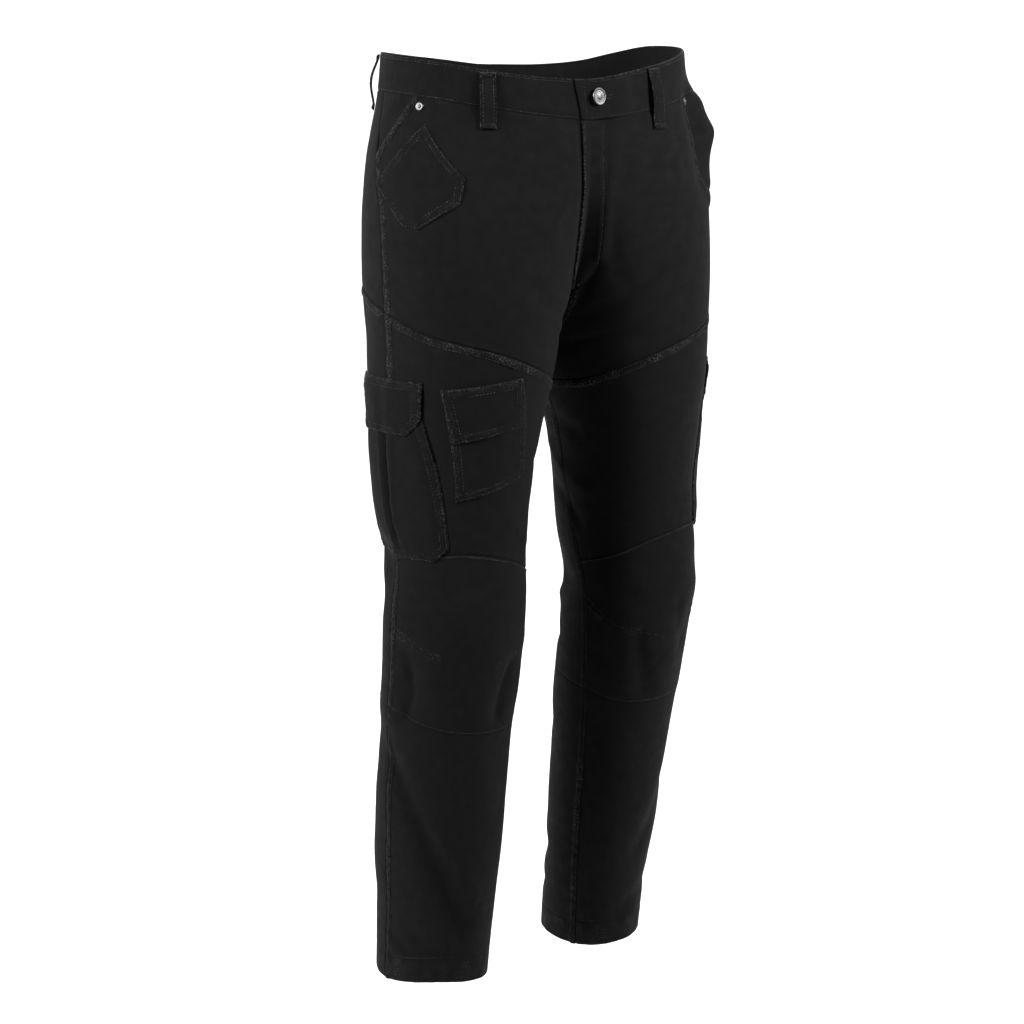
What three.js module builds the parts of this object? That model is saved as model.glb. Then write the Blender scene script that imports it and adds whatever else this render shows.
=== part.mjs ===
// Motorcycle trousers, hollow and upright as when worn, in mm, with +Z up.
// The front faces -Y, the wearer's right leg is at -X, and the origin is the middle of the waist opening.
import * as THREE from "three";

// Driving dimensions. A drop is measured down from the waistband's top edge at the hip side.
const ORIGIN_DROP = 22;
const CROTCH_DROP = 320;
const CLOTH = 2;
const POCKET_CLOTH = 1.4;
const LOOP_CLOTH = 2;
const BAND_CLOTH = 2.6;
const BAND_HEIGHT = 44;
const BAND_OVERLAP_LIFT = 3;
const HEM_CLOTH = 3.4;
const HEM_DEPTH = 30;
const HEM_TURN = 2;
const REST_GAP = 0.3;
const SEAM_INSET = 0.15;
const COLUMNS = 24;
// A leg's girth in mm, for one turn of t, where folds and widths are laid out on the cloth.
const GIRTH = 500;

const RIGHT = -1;
const LEFT = 1;
const BOTH = 0;

const TWILL = 0x1b1c1f;
const METAL = 0x8d8f93;

// Cross-sections of one leg. Above the crotch a section is cut off at the middle of the body, and the
// fork columns are the outward distance as a share of the inner half width. Angles are in degrees.
const SECTION_COLUMNS = [
  "drop", "outward", "back", "outer", "forkFront", "forkBack",
  "frontDepth", "backDepth", "power", "turn", "sideSeam", "inseam",
];
const SECTIONS = [
  [-20, 14, 0, 176, 0.04, 0.03, 100, 100, 2.15, 0, 184, 0],
  [0, 14, 0, 177, 0.04, 0.03, 100, 100, 2.15, 0, 184, 0],
  [45, 20, -1, 175, 0.06, 0.05, 101, 103, 2.15, 0, 184, 0],
  [120, 50, -6, 160, 0.3, 0.2, 104, 112, 2.2, 0, 182, 0],
  [180, 80, -9, 133, 0.62, 0.42, 108, 120, 2.2, 0, 178, 0],
  [240, 98, -10, 115, 0.8, 0.66, 110, 122, 2.15, 0, 177, 0],
  [290, 104, -10, 108, 0.93, 0.88, 110, 116, 2.1, 0, 176, 0],
  [320, 107, -10, 104, 1.0, 1.0, 108, 110, 2.1, 0, 176, 0],
  [360, 111, -9, 100, 1.08, 1.08, 106, 103, 2.1, -5, 180, 2],
  [450, 119, -8, 84, 1.37, 1.37, 98, 94, 2.1, -12, 187, 8],
  [550, 122, -8, 74, 1.52, 1.52, 88, 84, 2.1, -9, 190, 14],
  [625, 124, -15, 78, 1.57, 1.57, 85, 82, 2.1, -6, 190, 20],
  [700, 123, -4, 76, 1.62, 1.62, 86, 80, 2.1, -8, 193, 28],
  [770, 121, 10, 73, 1.7, 1.7, 84, 84, 2.05, -10, 196, 35],
  [850, 120, 21, 69, 1.81, 1.81, 83, 85, 2.05, -13, 196, 39],
  [925, 119, 31, 66, 1.88, 1.88, 82, 84, 2.05, -15, 196, 41],
  [1000, 117, 42, 61, 1.96, 1.96, 78, 80, 2.05, -13, 196, 42],
  [1100, 116, 54, 57, 2.1, 2.1, 76, 78, 2.05, -10, 196, 42],
];

// Seam lines round a leg. The place t runs from 0 at the centre front or inseam, through 0.5 at the
// side seam, to 1 at the centre back or inseam. The other columns are drops, and the tilt is how far
// the rim lies lower on the right leg, and higher on the left.
const SEAM_COLUMNS = ["t", "rim", "thigh", "kneeTop", "kneeLow", "hem", "tilt"];
const SEAMS = [
  [0.0, 31, 374, 588, 748, 1088, 0],
  [0.1, 24, 365, 575, 760, 1085, 3],
  [0.2, 16, 343, 557, 761, 1082, 3.8],
  [0.3, 8, 318, 547, 757, 1081, 4.6],
  [0.4, 3, 301, 549, 748, 1087, 5],
  [0.5, 0, 279, 557, 738, 1094, 4.8],
  [0.6, -1, 261, 564, 735, 1096, 3],
  [0.7, 3, 257, 572, 734, 1095, 0],
  [0.8, 9, 280, 579, 734, 1092, -3],
  [0.9, 13, 328, 584, 738, 1090, -3],
  [1.0, 16, 374, 588, 748, 1088, 0],
];

// Rows of faces from each seam line to the next one down.
const LEVEL_ROWS = [
  ["rim", 0],
  ["band", 3],
  ["crotch", 8],
  ["thigh", 2],
  ["kneeTop", 8],
  ["kneeLow", 7],
  ["hemFold", 10],
  ["hemTurn", 1],
  ["hem", 1],
];

// The largest folds, each a soft ridge or trough along a line on the cloth.
const FOLD_COLUMNS = ["leg", "fromT", "fromDrop", "toT", "toDrop", "reach", "height"];
const FOLDS = [
  [LEFT, 0.5, 105, 0.5, 118, 48, 10],
  [LEFT, 0.39, 66, 0.395, 92, 24, 15],
  [LEFT, 0.3, 62, 0.305, 130, 20, -5],
  [LEFT, 0.36, 535, 0.38, 560, 30, 4],
  [LEFT, 0.33, 665, 0.31, 700, 28, -5],
  [LEFT, 0.9, 600, 0.92, 615, 22, -4],
  [LEFT, 0.42, 830, 0.22, 960, 18, -3],
  [RIGHT, 0.55, 555, 0.53, 575, 26, -7],
  [RIGHT, 0.55, 780, 0.53, 800, 30, -5],
  [RIGHT, 0.1, 690, 0.1, 700, 22, -3],
  [RIGHT, 0.47, 809, 0.24, 1012, 17, -4.5],
  [BOTH, 0.435, 672, 0.435, 742, 14, -3.5],
  [BOTH, 0.145, 680, 0.165, 742, 14, -3.5],
  [RIGHT, 0.6, 612, 0.86, 625, 15, -4.5],
  [RIGHT, 0.64, 668, 0.9, 655, 16, -5],
  [LEFT, 0.62, 600, 0.84, 618, 16, -5],
  [LEFT, 0.6, 655, 0.82, 668, 15, -4],
  [RIGHT, 0.92, 345, 0.72, 318, 18, -4],
  [LEFT, 0.92, 352, 0.7, 312, 20, -4.5],
  [RIGHT, 0.62, 985, 0.86, 1008, 17, -3.5],
  [LEFT, 0.6, 1002, 0.84, 980, 16, -3.5],
];

// The hip pocket mouths run from the waistband to the side seam, as [drop, t]. The left one gapes.
const HIP_MOUTH = {
  [RIGHT]: [[47, 0.37], [108, 0.5]],
  [LEFT]: [[47, 0.305], [80, 0.298], [120, 0.308], [150, 0.33], [172, 0.4], [188, 0.5]],
};
const FACING_TUCK = 0.028;
const FACING_CLEAR = 0.008;
const FACING_RISE = 0.05;

// Pocket outlines on the cloth, as [t, drop].
const COIN_POCKET = [
  [0.499, 140], [0.335, 77], [0.254, 134], [0.278, 159], [0.385, 188], [0.431, 185],
];
const THIGH_POCKET = [[0.386, 362], [0.3, 357], [0.238, 352], [0.197, 461], [0.352, 487]];
const THIGH_FLAP = [[0.386, 361], [0.24, 350], [0.228, 402], [0.242, 405], [0.364, 420]];
const CARGO_POCKET = [
  [0.432, 373], [0.598, 373], [0.628, 540], [0.602, 556], [0.384, 556], [0.352, 540],
];
const CARGO_FLAP = [
  [0.419, 353], [0.603, 353], [0.603, 404], [0.585, 414], [0.453, 413], [0.424, 397],
];
const CARGO_PLEAT = { topT: 0.511, topDrop: 410, lowT: 0.482, lowDrop: 542, halfWidth: 0.012, depth: 0.75 };
const CARGO_SIDES = {
  topDrop: 405,
  lowDrop: 540,
  front: { topT: 0.415, lowT: 0.352 },
  back: { topT: 0.604, lowT: 0.628 },
};
const CARGO_BULGE = 4;
const CARGO_EDGE = 0.034;
const CARGO_FOOT = 26;
// Under its flap the pocket is nearly flat, and it swells to its full height below.
const CARGO_MOUTH = { share: 0.35, fromDrop: 380, length: 60 };
const CARGO_ROWS = [360, 368, 392];
const THIGH_SWELL = {
  height: 1.6,
  fromT: 0.2,
  width: 0.18,
  topDrop: 345,
  topFade: 30,
  lowDrop: 487,
  lowFade: 40,
};
const THIGH_ROWS = [375, 405, 445];
const THIGH_COLUMNS = [0.23, 0.27, 0.31, 0.35];
const FLAP_RISE = 15;
const FLAP_CLEAR = 0.4;

// The fly placket's two halves, on the wearer's right and left of the centre seam.
const FLY_RIGHT = [[-0.001, 75.3], [0.0115, 75.3], [0.026, 236], [0.012, 258], [-0.001, 264]];
const FLY_LEFT = [[-0.001, 75.3], [0.026, 75.3], [0.048, 232], [0.034, 253], [-0.001, 264]];

const LOOP_HALF_WIDTH = 0.017;
const LOOP_HEAD = 2.5;
const LOOP_FOOT = 22;
// Where a loop leaves the band and meets it again, as shares of its length.
const LOOP_ARCH = { from: 0.08, to: 0.88, rise: 0.25 };
const LOOP_ROWS = [0.08, 0.2, 0.35, 0.5, 0.65, 0.8, 0.88];
const CENTRE_BACK = 1.001;
const BELT_LOOPS = [
  { name: "belt_loop_front_R", legs: [RIGHT], t: 0.188, standOff: 3.5 },
  { name: "belt_loop_front_L", legs: [LEFT], t: 0.142, standOff: 3.5 },
  { name: "belt_loop_side_R", legs: [RIGHT], t: 0.6, standOff: 6.5 },
  { name: "belt_loop_side_L", legs: [LEFT], t: 0.6, standOff: 5 },
  { name: "belt_loop_back", legs: [RIGHT, LEFT], t: 1, standOff: 4.5 },
];

// The ends of the waistband strip, from under the overlap to over it: leg, place, share of the lift.
const BAND_UNDER = [[LEFT, 0.036, 0], [LEFT, 0.02, 0], [RIGHT, 0, 0], [RIGHT, 0.02, 0]];
const BAND_OVER = [
  [LEFT, 0.07, 0.25], [LEFT, 0.055, 0.8], [LEFT, 1 / COLUMNS, 1],
  [LEFT, 0.02, 1], [RIGHT, 0, 1], [RIGHT, 0.0115, 1],
];

// Turned metal parts, as [radius, height] in mm up the axis.
const BUTTON = { t: 0.0085, drop: 50, sides: 24 };
const BUTTON_PROFILE = [
  [0, 0], [4.3, 0], [4.8, 1], [8.8, 1.2], [9.5, 2], [9, 2.9], [7.6, 3.1], [6.6, 2.6], [2.8, 2.9], [0, 3],
];
const RIVET_PROFILE = [[0, 0], [4.2, 0], [4.4, 0.5], [3.4, 1.1], [1.6, 1.2], [1.2, 1.9], [0, 2.1]];
const RIVET_SIDES = 16;
const RIVET_LIFT = 0.4;
const RIVETS = [
  { name: "rivet_R", leg: RIGHT, t: 0.352, drop: 59 },
  { name: "rivet_L", leg: LEFT, t: 0.3, drop: 57 },
];

const mix = (a, b, share) => a + (b - a) * share;
const clamp01 = (x) => Math.min(Math.max(x, 0), 1);
const smoothStep = (x) => clamp01(x) ** 2 * (3 - 2 * clamp01(x));
const radians = THREE.MathUtils.degToRad;

// A smooth curve through one column of a table whose first column rises.
function tableValue(rows, columnIndex, at) {
  const last = rows.length - 1;
  let i = 0;
  while (i < last - 1 && at > rows[i + 1][0]) i += 1;
  const slope = (k) => (rows[k + 1][columnIndex] - rows[k][columnIndex]) / (rows[k + 1][0] - rows[k][0]);
  const tangent = (k) => {
    if (k === 0) return slope(0);
    if (k === last) return slope(last - 1);
    const before = rows[k][0] - rows[k - 1][0];
    const after = rows[k + 1][0] - rows[k][0];
    return (slope(k - 1) * after + slope(k) * before) / (before + after);
  };
  const width = rows[i + 1][0] - rows[i][0];
  const u = (at - rows[i][0]) / width;
  const u2 = u * u;
  const u3 = u2 * u;
  return (
    (2 * u3 - 3 * u2 + 1) * rows[i][columnIndex] +
    (u3 - 2 * u2 + u) * width * tangent(i) +
    (3 * u2 - 2 * u3) * rows[i + 1][columnIndex] +
    (u3 - u2) * width * tangent(i + 1)
  );
}

function sectionAt(drop) {
  const section = {};
  SECTION_COLUMNS.forEach((name, k) => (section[name] = tableValue(SECTIONS, k, drop)));
  return section;
}

const seamDrop = (name, t) => tableValue(SEAMS, SEAM_COLUMNS.indexOf(name), t);

// A point of the unfolded leg form: a rounded section, clipped at the middle of the body.
function formPoint(leg, t, drop) {
  const s = sectionAt(drop);
  const front = t <= 0.5;
  const fork = front ? s.forkFront : s.forkBack;
  const start = Math.acos(Math.min(fork, 1) ** (s.power / 2));
  const side = radians(s.sideSeam);
  const inseam = radians(s.inseam);
  const angle = front
    ? mix(inseam + start, side, 2 * t)
    : mix(side, 2 * Math.PI + inseam - start, 2 * t - 1);
  const c = Math.cos(angle);
  const d = Math.sin(angle);
  const halfWidth = c > 0 ? s.outward / fork : s.outer;
  const halfDepth = d > 0 ? s.frontDepth : s.backDepth;
  const dx = halfWidth * Math.sign(c) * Math.abs(c) ** (2 / s.power);
  const dy = -halfDepth * Math.sign(d) * Math.abs(d) ** (2 / s.power);
  const turn = radians(s.turn);
  let x = -s.outward + dx * Math.cos(turn) + dy * Math.sin(turn);
  if (fork < 1) x = Math.min(x, 0);
  const y = s.back - dx * Math.sin(turn) + dy * Math.cos(turn);
  return new THREE.Vector3(-leg * x, y, ORIGIN_DROP - drop);
}

function formNormal(leg, t, drop) {
  const step = 0.003;
  const across = formPoint(leg, Math.min(t + step, 1), drop).sub(formPoint(leg, Math.max(t - step, 0), drop));
  const down = formPoint(leg, t, drop + 1).sub(formPoint(leg, t, drop - 1));
  const normal = across.cross(down).normalize();
  return normal.multiplyScalar(-leg);
}

// The height of all folds at one place of the cloth. Below the crotch they run across the inseam.
function foldHeight(leg, t, drop) {
  const turns = drop > CROTCH_DROP ? [0, -1, 1] : [0];
  let height = 0;
  for (const row of FOLDS) {
    const fold = Object.fromEntries(FOLD_COLUMNS.map((name, k) => [name, row[k]]));
    if (fold.leg !== BOTH && fold.leg !== leg) continue;
    const along = [(fold.toT - fold.fromT) * GIRTH, fold.toDrop - fold.fromDrop];
    const length2 = along[0] ** 2 + along[1] ** 2;
    let nearest = Infinity;
    for (const turn of turns) {
      const from = [(t + turn - fold.fromT) * GIRTH, drop - fold.fromDrop];
      const share = clamp01((from[0] * along[0] + from[1] * along[1]) / length2);
      nearest = Math.min(nearest, Math.hypot(from[0] - share * along[0], from[1] - share * along[1]));
    }
    height += fold.height * Math.exp(-((nearest / fold.reach) ** 2));
  }
  return height;
}

// A place on the cloth: its point on the outer face, and the way out.
function clothPlace(leg, t, drop) {
  const normal = formNormal(leg, t, drop);
  const point = formPoint(leg, t, drop).addScaledVector(normal, foldHeight(leg, t, drop));
  return { leg, t, drop, point, normal };
}

const rimDrop = (leg, t) => seamDrop("rim", t) - leg * seamDrop("tilt", t);

function levelDrop(name, t, leg = BOTH) {
  if (name === "rim") return rimDrop(leg, t);
  if (name === "band") return seamDrop("rim", t) + BAND_HEIGHT;
  if (name === "hemFold") return seamDrop("hem", t) - HEM_DEPTH - HEM_TURN;
  if (name === "hemTurn") return seamDrop("hem", t) - HEM_DEPTH;
  if (name !== "crotch") return seamDrop(name, t);
  const shareAt = (end) =>
    (CROTCH_DROP - levelDrop("band", end)) / (seamDrop("thigh", end) - levelDrop("band", end));
  return mix(levelDrop("band", t), seamDrop("thigh", t), mix(shareAt(0), shareAt(1), t));
}

// One leg's places on a grid: its rows follow the seam lines, its columns run down the leg.
const levelRow = {};
function legGrid(leg) {
  const grid = [];
  LEVEL_ROWS.forEach(([name, rows], k) => {
    const above = k ? LEVEL_ROWS[k - 1][0] : name;
    for (let r = k ? 1 : 0; r <= rows; r += 1) {
      const line = [];
      for (let i = 0; i <= COLUMNS; i += 1) {
        const t = i / COLUMNS;
        const drop = mix(levelDrop(above, t, leg), levelDrop(name, t, leg), rows ? r / rows : 0);
        line.push(clothPlace(leg, t, drop));
      }
      grid.push(line);
    }
    levelRow[name] = grid.length - 1;
  });
  return grid;
}
const GRIDS = { [RIGHT]: legGrid(RIGHT), [LEFT]: legGrid(LEFT) };

const placeKey = (v) => {
  const centre = (v.t < 1e-7 || v.t > 1 - 1e-7) && v.drop < CROTCH_DROP;
  return (centre ? "c" : v.leg) + "," + v.t.toFixed(6) + "," + v.drop.toFixed(3);
};

// Faces of a patch of the grid, each a list of places.
function gridFaces(lines) {
  const faces = [];
  for (let r = 0; r + 1 < lines.length; r += 1)
    for (let i = 0; i + 1 < lines[r].length; i += 1) {
      const corners = [lines[r][i], lines[r + 1][i], lines[r + 1][i + 1], lines[r][i + 1]];
      faces.push([corners[0], corners[1], corners[2]], [corners[0], corners[2], corners[3]]);
    }
  return faces;
}

// A body panel between two seam lines and two columns, drawn in a little at each seam.
function panelFaces(leg, top, bottom, firstColumn, lastColumn) {
  const drawnIn = (place, inner) => {
    const way = inner.point.clone().sub(place.point).setLength(SEAM_INSET);
    return { ...place, point: place.point.clone().add(way) };
  };
  const lines = GRIDS[leg]
    .slice(levelRow[top], levelRow[bottom] + 1)
    .map((line) => line.slice(firstColumn, lastColumn + 1));
  const end = lines[0].length - 1;
  const sewn = lines.map((line) =>
    line.map((place, i) => {
      if (i === 0) return drawnIn(place, line[1]);
      if (i === end) return drawnIn(place, line[end - 1]);
      return place;
    }),
  );
  const low = sewn.length - 1;
  sewn[0] = sewn[0].map((place, i) => drawnIn(place, sewn[1][i]));
  sewn[low] = sewn[low].map((place, i) => drawnIn(place, sewn[low - 1][i]));
  return gridFaces(sewn);
}

function between(a, b, share) {
  return {
    leg: a.leg,
    t: mix(a.t, b.t, share),
    drop: mix(a.drop, b.drop, share),
    point: a.point.clone().lerp(b.point, share),
    normal: a.normal.clone().lerp(b.normal, share),
  };
}

// The part of each face where the line's value is at most 0. A line is a function of t and drop.
function cutFaces(faces, line) {
  const kept = [];
  for (const face of faces) {
    const cut = [];
    face.forEach((a, k) => {
      const b = face[(k + 1) % face.length];
      const va = line(a.t, a.drop);
      const vb = line(b.t, b.drop);
      if (va <= 0) cut.push(a);
      if (va < 0 !== vb < 0 && va !== 0 && vb !== 0) cut.push(between(a, b, va / (va - vb)));
    });
    const distinct = cut.filter((v, k) => placeKey(v) !== placeKey(cut[(k + 1) % cut.length]));
    if (distinct.length > 2) kept.push(distinct);
  }
  return kept;
}

const splitFaces = (faces, line) => [...cutFaces(faces, line), ...cutFaces(faces, (t, d) => -line(t, d))];

// A straight line through two places, negative on the side of the third.
function lineThrough([t0, d0], [t1, d1], [tIn, dIn] = [Infinity, 0]) {
  const value = (t, d) => ((t - t0) * GIRTH * (d1 - d0) - (d - d0) * (t1 - t0) * GIRTH) / GIRTH;
  const sign = tIn !== Infinity && value(tIn, dIn) > 0 ? -1 : 1;
  return (t, d) => sign * value(t, d);
}

// The faces of both panels under a convex outline, cut to it.
function outlineFaces(leg, outline) {
  const middle = [0, 1].map((k) => outline.reduce((sum, corner) => sum + corner[k], 0) / outline.length);
  return outline.reduce(
    (faces, corner, k) => cutFaces(faces, lineThrough(corner, outline[(k + 1) % outline.length], middle)),
    gridFaces(GRIDS[leg]),
  );
}

// A closed wall on a patch of cloth, between two heights above it. Pieces that cross the centre seam
// lean on both legs, and are square to the front or back there.
function wallGeometry(faces, { outer, inner, ownSide = 0 }) {
  const index = new Map();
  const places = [];
  const triangles = [];
  for (const face of faces) {
    const ids = face.map((v) => {
      const key = placeKey(v);
      if (!index.has(key)) {
        index.set(key, places.length);
        places.push(v);
      }
      return index.get(key);
    });
    const turned = face[0].leg === LEFT && !ownSide ? ids.reverse() : ids;
    for (let k = 1; k + 1 < turned.length; k += 1) triangles.push([turned[0], turned[k], turned[k + 1]]);
  }
  const position = [];
  for (const height of [outer, inner])
    for (const place of places) {
      const way = place.normal.clone();
      const atCentre = !ownSide && (place.t < 1e-7 || place.t > 1 - 1e-7);
      if (atCentre) way.set(0, Math.sign(way.y) / Math.max(Math.abs(way.y), 0.5), 0);
      const p = place.point.clone().addScaledVector(way, height(place.t, place.drop));
      if (ownSide) p.x = ownSide * Math.max(ownSide * p.x, SEAM_INSET);
      position.push(p.x, p.y, p.z);
    }
  const count = places.length;
  const edges = new Set(triangles.flatMap(([a, b, c]) => [a + "_" + b, b + "_" + c, c + "_" + a]));
  const all = [];
  for (const [a, b, c] of triangles) {
    all.push([a, b, c], [c + count, b + count, a + count]);
    for (const [from, to] of [[a, b], [b, c], [c, a]])
      if (!edges.has(to + "_" + from)) all.push([to, from, from + count], [to, from + count, to + count]);
  }
  return facingOut(position, all);
}

function facingOut(position, triangles) {
  const corner = (k) => new THREE.Vector3().fromArray(position, 3 * k);
  const volume = triangles.reduce((sum, [a, b, c]) => sum + corner(a).dot(corner(b).cross(corner(c))), 0);
  const index = triangles.flatMap(([a, b, c]) => (volume < 0 ? [a, c, b] : [a, b, c]));
  const geometry = new THREE.BufferGeometry();
  geometry.setAttribute("position", new THREE.Float32BufferAttribute(position, 3));
  geometry.setIndex(index);
  geometry.computeVertexNormals();
  return geometry;
}

const garment = new THREE.Group();

function addMesh(name, geometry, color = TWILL, roughness = 0.92, metalness = 0) {
  const mesh = new THREE.Mesh(geometry, new THREE.MeshStandardMaterial({ color, roughness, metalness }));
  mesh.name = name;
  garment.add(mesh);
  return mesh;
}

const letter = (leg) => (leg === RIGHT ? "_R" : "_L");

// Body panels
function mouthT(leg, drop) {
  const rows = HIP_MOUTH[leg];
  const next = rows.findIndex(([rowDrop]) => rowDrop > drop);
  const k = next < 0 ? rows.length - 1 : Math.max(next, 1);
  const [[fromDrop, fromT], [toDrop, toT]] = [rows[k - 1], rows[k]];
  return mix(fromT, toT, (drop - fromDrop) / (toDrop - fromDrop));
}
const mouthLine = (leg) => (t, drop) => t - mouthT(leg, drop);

const bodyInner = (t, drop) => (drop > seamDrop("hem", t) - HEM_DEPTH - HEM_TURN / 2 ? -HEM_CLOTH : -CLOTH);

function addPanel(name, leg, top, bottom, first, last, cut) {
  const faces = panelFaces(leg, top, bottom, first, last);
  const shaped = cut ? cutFaces(faces, cut) : faces;
  addMesh(name + letter(leg), wallGeometry(shaped, { outer: () => 0, inner: bodyInner, ownSide: leg }));
}

function addPocketFacing(leg) {
  const besideMouth = (shift) => (t, drop) => mouthT(leg, drop) + shift - t;
  const tucked = cutFaces(panelFaces(leg, "band", "crotch", 0, COLUMNS / 2), besideMouth(-FACING_TUCK));
  const faces = [FACING_CLEAR, FACING_CLEAR + FACING_RISE / 2].map(besideMouth).reduce(splitFaces, tucked);
  const sunk = -(CLOTH + REST_GAP);
  const outer = (t, drop) => sunk * (1 - smoothStep((t - mouthT(leg, drop) - FACING_CLEAR) / FACING_RISE));
  const inner = (t, drop) => outer(t, drop) - POCKET_CLOTH;
  addMesh("pocket_facing" + letter(leg), wallGeometry(faces, { outer, inner, ownSide: leg }));
}

function addLeg(leg) {
  const half = COLUMNS / 2;
  addPanel("front_upper", leg, "band", "thigh", 0, half, mouthLine(leg));
  addPocketFacing(leg);
  addPanel("back_upper", leg, "band", "thigh", half, COLUMNS);
  addPanel("thigh_front", leg, "thigh", "kneeTop", 0, half);
  addPanel("knee", leg, "kneeTop", "kneeLow", 0, half);
  addPanel("shin_front", leg, "kneeLow", "hem", 0, half);
  addPanel("thigh_back", leg, "thigh", "kneeLow", half, COLUMNS);
  addPanel("calf_back", leg, "kneeLow", "hem", half, COLUMNS);
}

// The waistband: one strip round the body. Its left end lies over its right end at the front.
function bandStations() {
  const inner = Array.from({ length: COLUMNS - 1 }, (_, k) => (k + 1) / COLUMNS);
  const right = inner.map((t) => [RIGHT, t, 0]);
  const left = inner.slice(1).reverse().map((t) => [LEFT, t, 0]);
  const over = BAND_OVER.map(([leg, t, share]) => [leg, t, share * BAND_OVERLAP_LIFT]);
  return [...BAND_UNDER, ...right, [RIGHT, 1, 0], ...left, ...over];
}

function addWaistband() {
  const rows = levelRow.band;
  const position = [];
  const stations = bandStations();
  for (const layer of [0, -BAND_CLOTH])
    for (let r = 0; r <= rows; r += 1)
      for (const [leg, t, lift] of stations) {
        const low = levelDrop("band", t) - SEAM_INSET;
        const drop = mix(rimDrop(leg, t), low, r / rows);
        const place = clothPlace(leg, t, drop);
        if (t === 0 || t === 1) place.normal.setX(0).normalize();
        const p = place.point.addScaledVector(place.normal, lift + layer);
        position.push(p.x, p.y, p.z);
      }
  const width = stations.length;
  const count = width * (rows + 1);
  const at = (layer, r, i) => layer * count + r * width + i;
  const quads = [];
  for (let r = 0; r < rows; r += 1)
    for (let i = 0; i + 1 < width; i += 1) {
      quads.push([at(0, r, i), at(0, r + 1, i), at(0, r + 1, i + 1), at(0, r, i + 1)]);
      quads.push([at(1, r, i + 1), at(1, r + 1, i + 1), at(1, r + 1, i), at(1, r, i)]);
    }
  for (let i = 0; i + 1 < width; i += 1) {
    quads.push([at(0, 0, i), at(0, 0, i + 1), at(1, 0, i + 1), at(1, 0, i)]);
    quads.push([at(0, rows, i + 1), at(0, rows, i), at(1, rows, i), at(1, rows, i + 1)]);
  }
  const end = width - 1;
  for (let r = 0; r < rows; r += 1) {
    quads.push([at(0, r + 1, 0), at(0, r, 0), at(1, r, 0), at(1, r + 1, 0)]);
    quads.push([at(0, r, end), at(0, r + 1, end), at(1, r + 1, end), at(1, r, end)]);
  }
  addMesh("waistband", facingOut(position, quads.flatMap(([a, b, c, d]) => [[a, b, c], [a, c, d]])));
}

function addFlyPlacket() {
  const faces = [...outlineFaces(RIGHT, FLY_RIGHT), ...outlineFaces(LEFT, FLY_LEFT)];
  const inner = () => REST_GAP;
  const outer = () => REST_GAP + POCKET_CLOTH;
  addMesh("fly_placket", wallGeometry(faces, { outer, inner }));
}

// Pockets lie on the panels' own points, moved out.
function addPatch(name, leg, outline, base, bulge, lines = []) {
  const faces = lines.reduce(splitFaces, outlineFaces(leg, outline));
  const inner = (t, drop) => base(t, drop) + bulge(t, drop);
  const outer = (t, drop) => inner(t, drop) + POCKET_CLOTH;
  addMesh(name + letter(leg), wallGeometry(faces, { outer, inner, ownSide: leg }));
}

const onPanel = () => REST_GAP;
const flat = () => 0;

function cargoBulge(t, drop) {
  const pleatShare = (drop - CARGO_PLEAT.topDrop) / (CARGO_PLEAT.lowDrop - CARGO_PLEAT.topDrop);
  const pleatT = mix(CARGO_PLEAT.topT, CARGO_PLEAT.lowT, pleatShare);
  const sideShare = (drop - CARGO_SIDES.topDrop) / (CARGO_SIDES.lowDrop - CARGO_SIDES.topDrop);
  const frontT = mix(CARGO_SIDES.front.topT, CARGO_SIDES.front.lowT, sideShare);
  const backT = mix(CARGO_SIDES.back.topT, CARGO_SIDES.back.lowT, sideShare);
  const rise = smoothStep(Math.min(t - frontT, backT - t) / CARGO_EDGE);
  const foot = smoothStep((CARGO_POCKET[3][1] - drop) / CARGO_FOOT);
  const mouth = mix(CARGO_MOUTH.share, 1, smoothStep((drop - CARGO_MOUTH.fromDrop) / CARGO_MOUTH.length));
  const groove = CARGO_PLEAT.depth * Math.exp(-(((t - pleatT) / CARGO_PLEAT.halfWidth) ** 2));
  return CARGO_BULGE * rise * foot * mouth * (1 - groove);
}

// Pocket and flap are split along the same lines, so that the flap follows the pocket's form.
function addCargoPocket(leg) {
  const pleatLine = (shift) =>
    lineThrough(
      [CARGO_PLEAT.topT + shift, CARGO_PLEAT.topDrop],
      [CARGO_PLEAT.lowT + shift, CARGO_PLEAT.lowDrop],
    );
  const edgeLine = ({ topT, lowT }, shift) =>
    lineThrough([topT + shift, CARGO_SIDES.topDrop], [lowT + shift, CARGO_SIDES.lowDrop]);
  const lines = [
    ...[-CARGO_PLEAT.halfWidth, 0, CARGO_PLEAT.halfWidth].map(pleatLine),
    edgeLine(CARGO_SIDES.front, CARGO_EDGE),
    edgeLine(CARGO_SIDES.back, -CARGO_EDGE),
    ...CARGO_ROWS.map((at) => (t, drop) => drop - at),
  ];
  const footLine = (t, drop) => drop - (CARGO_POCKET[3][1] - CARGO_FOOT);
  addPatch("cargo_pocket", leg, CARGO_POCKET, onPanel, cargoBulge, [...lines, footLine]);
  const overPocket = (t, drop) => {
    const over = smoothStep((drop - CARGO_FLAP[0][1]) / FLAP_RISE);
    return REST_GAP + over * (POCKET_CLOTH + FLAP_CLEAR + cargoBulge(t, drop));
  };
  addPatch("cargo_flap", leg, CARGO_FLAP, overPocket, flat, lines);
}

function thighBulge(t, drop) {
  const swell = THIGH_SWELL;
  const middle = Math.sin(Math.PI * clamp01((t - swell.fromT) / swell.width));
  const top = smoothStep((drop - swell.topDrop) / swell.topFade);
  const low = smoothStep((swell.lowDrop - drop) / swell.lowFade);
  return swell.height * middle * top * low;
}

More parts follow.
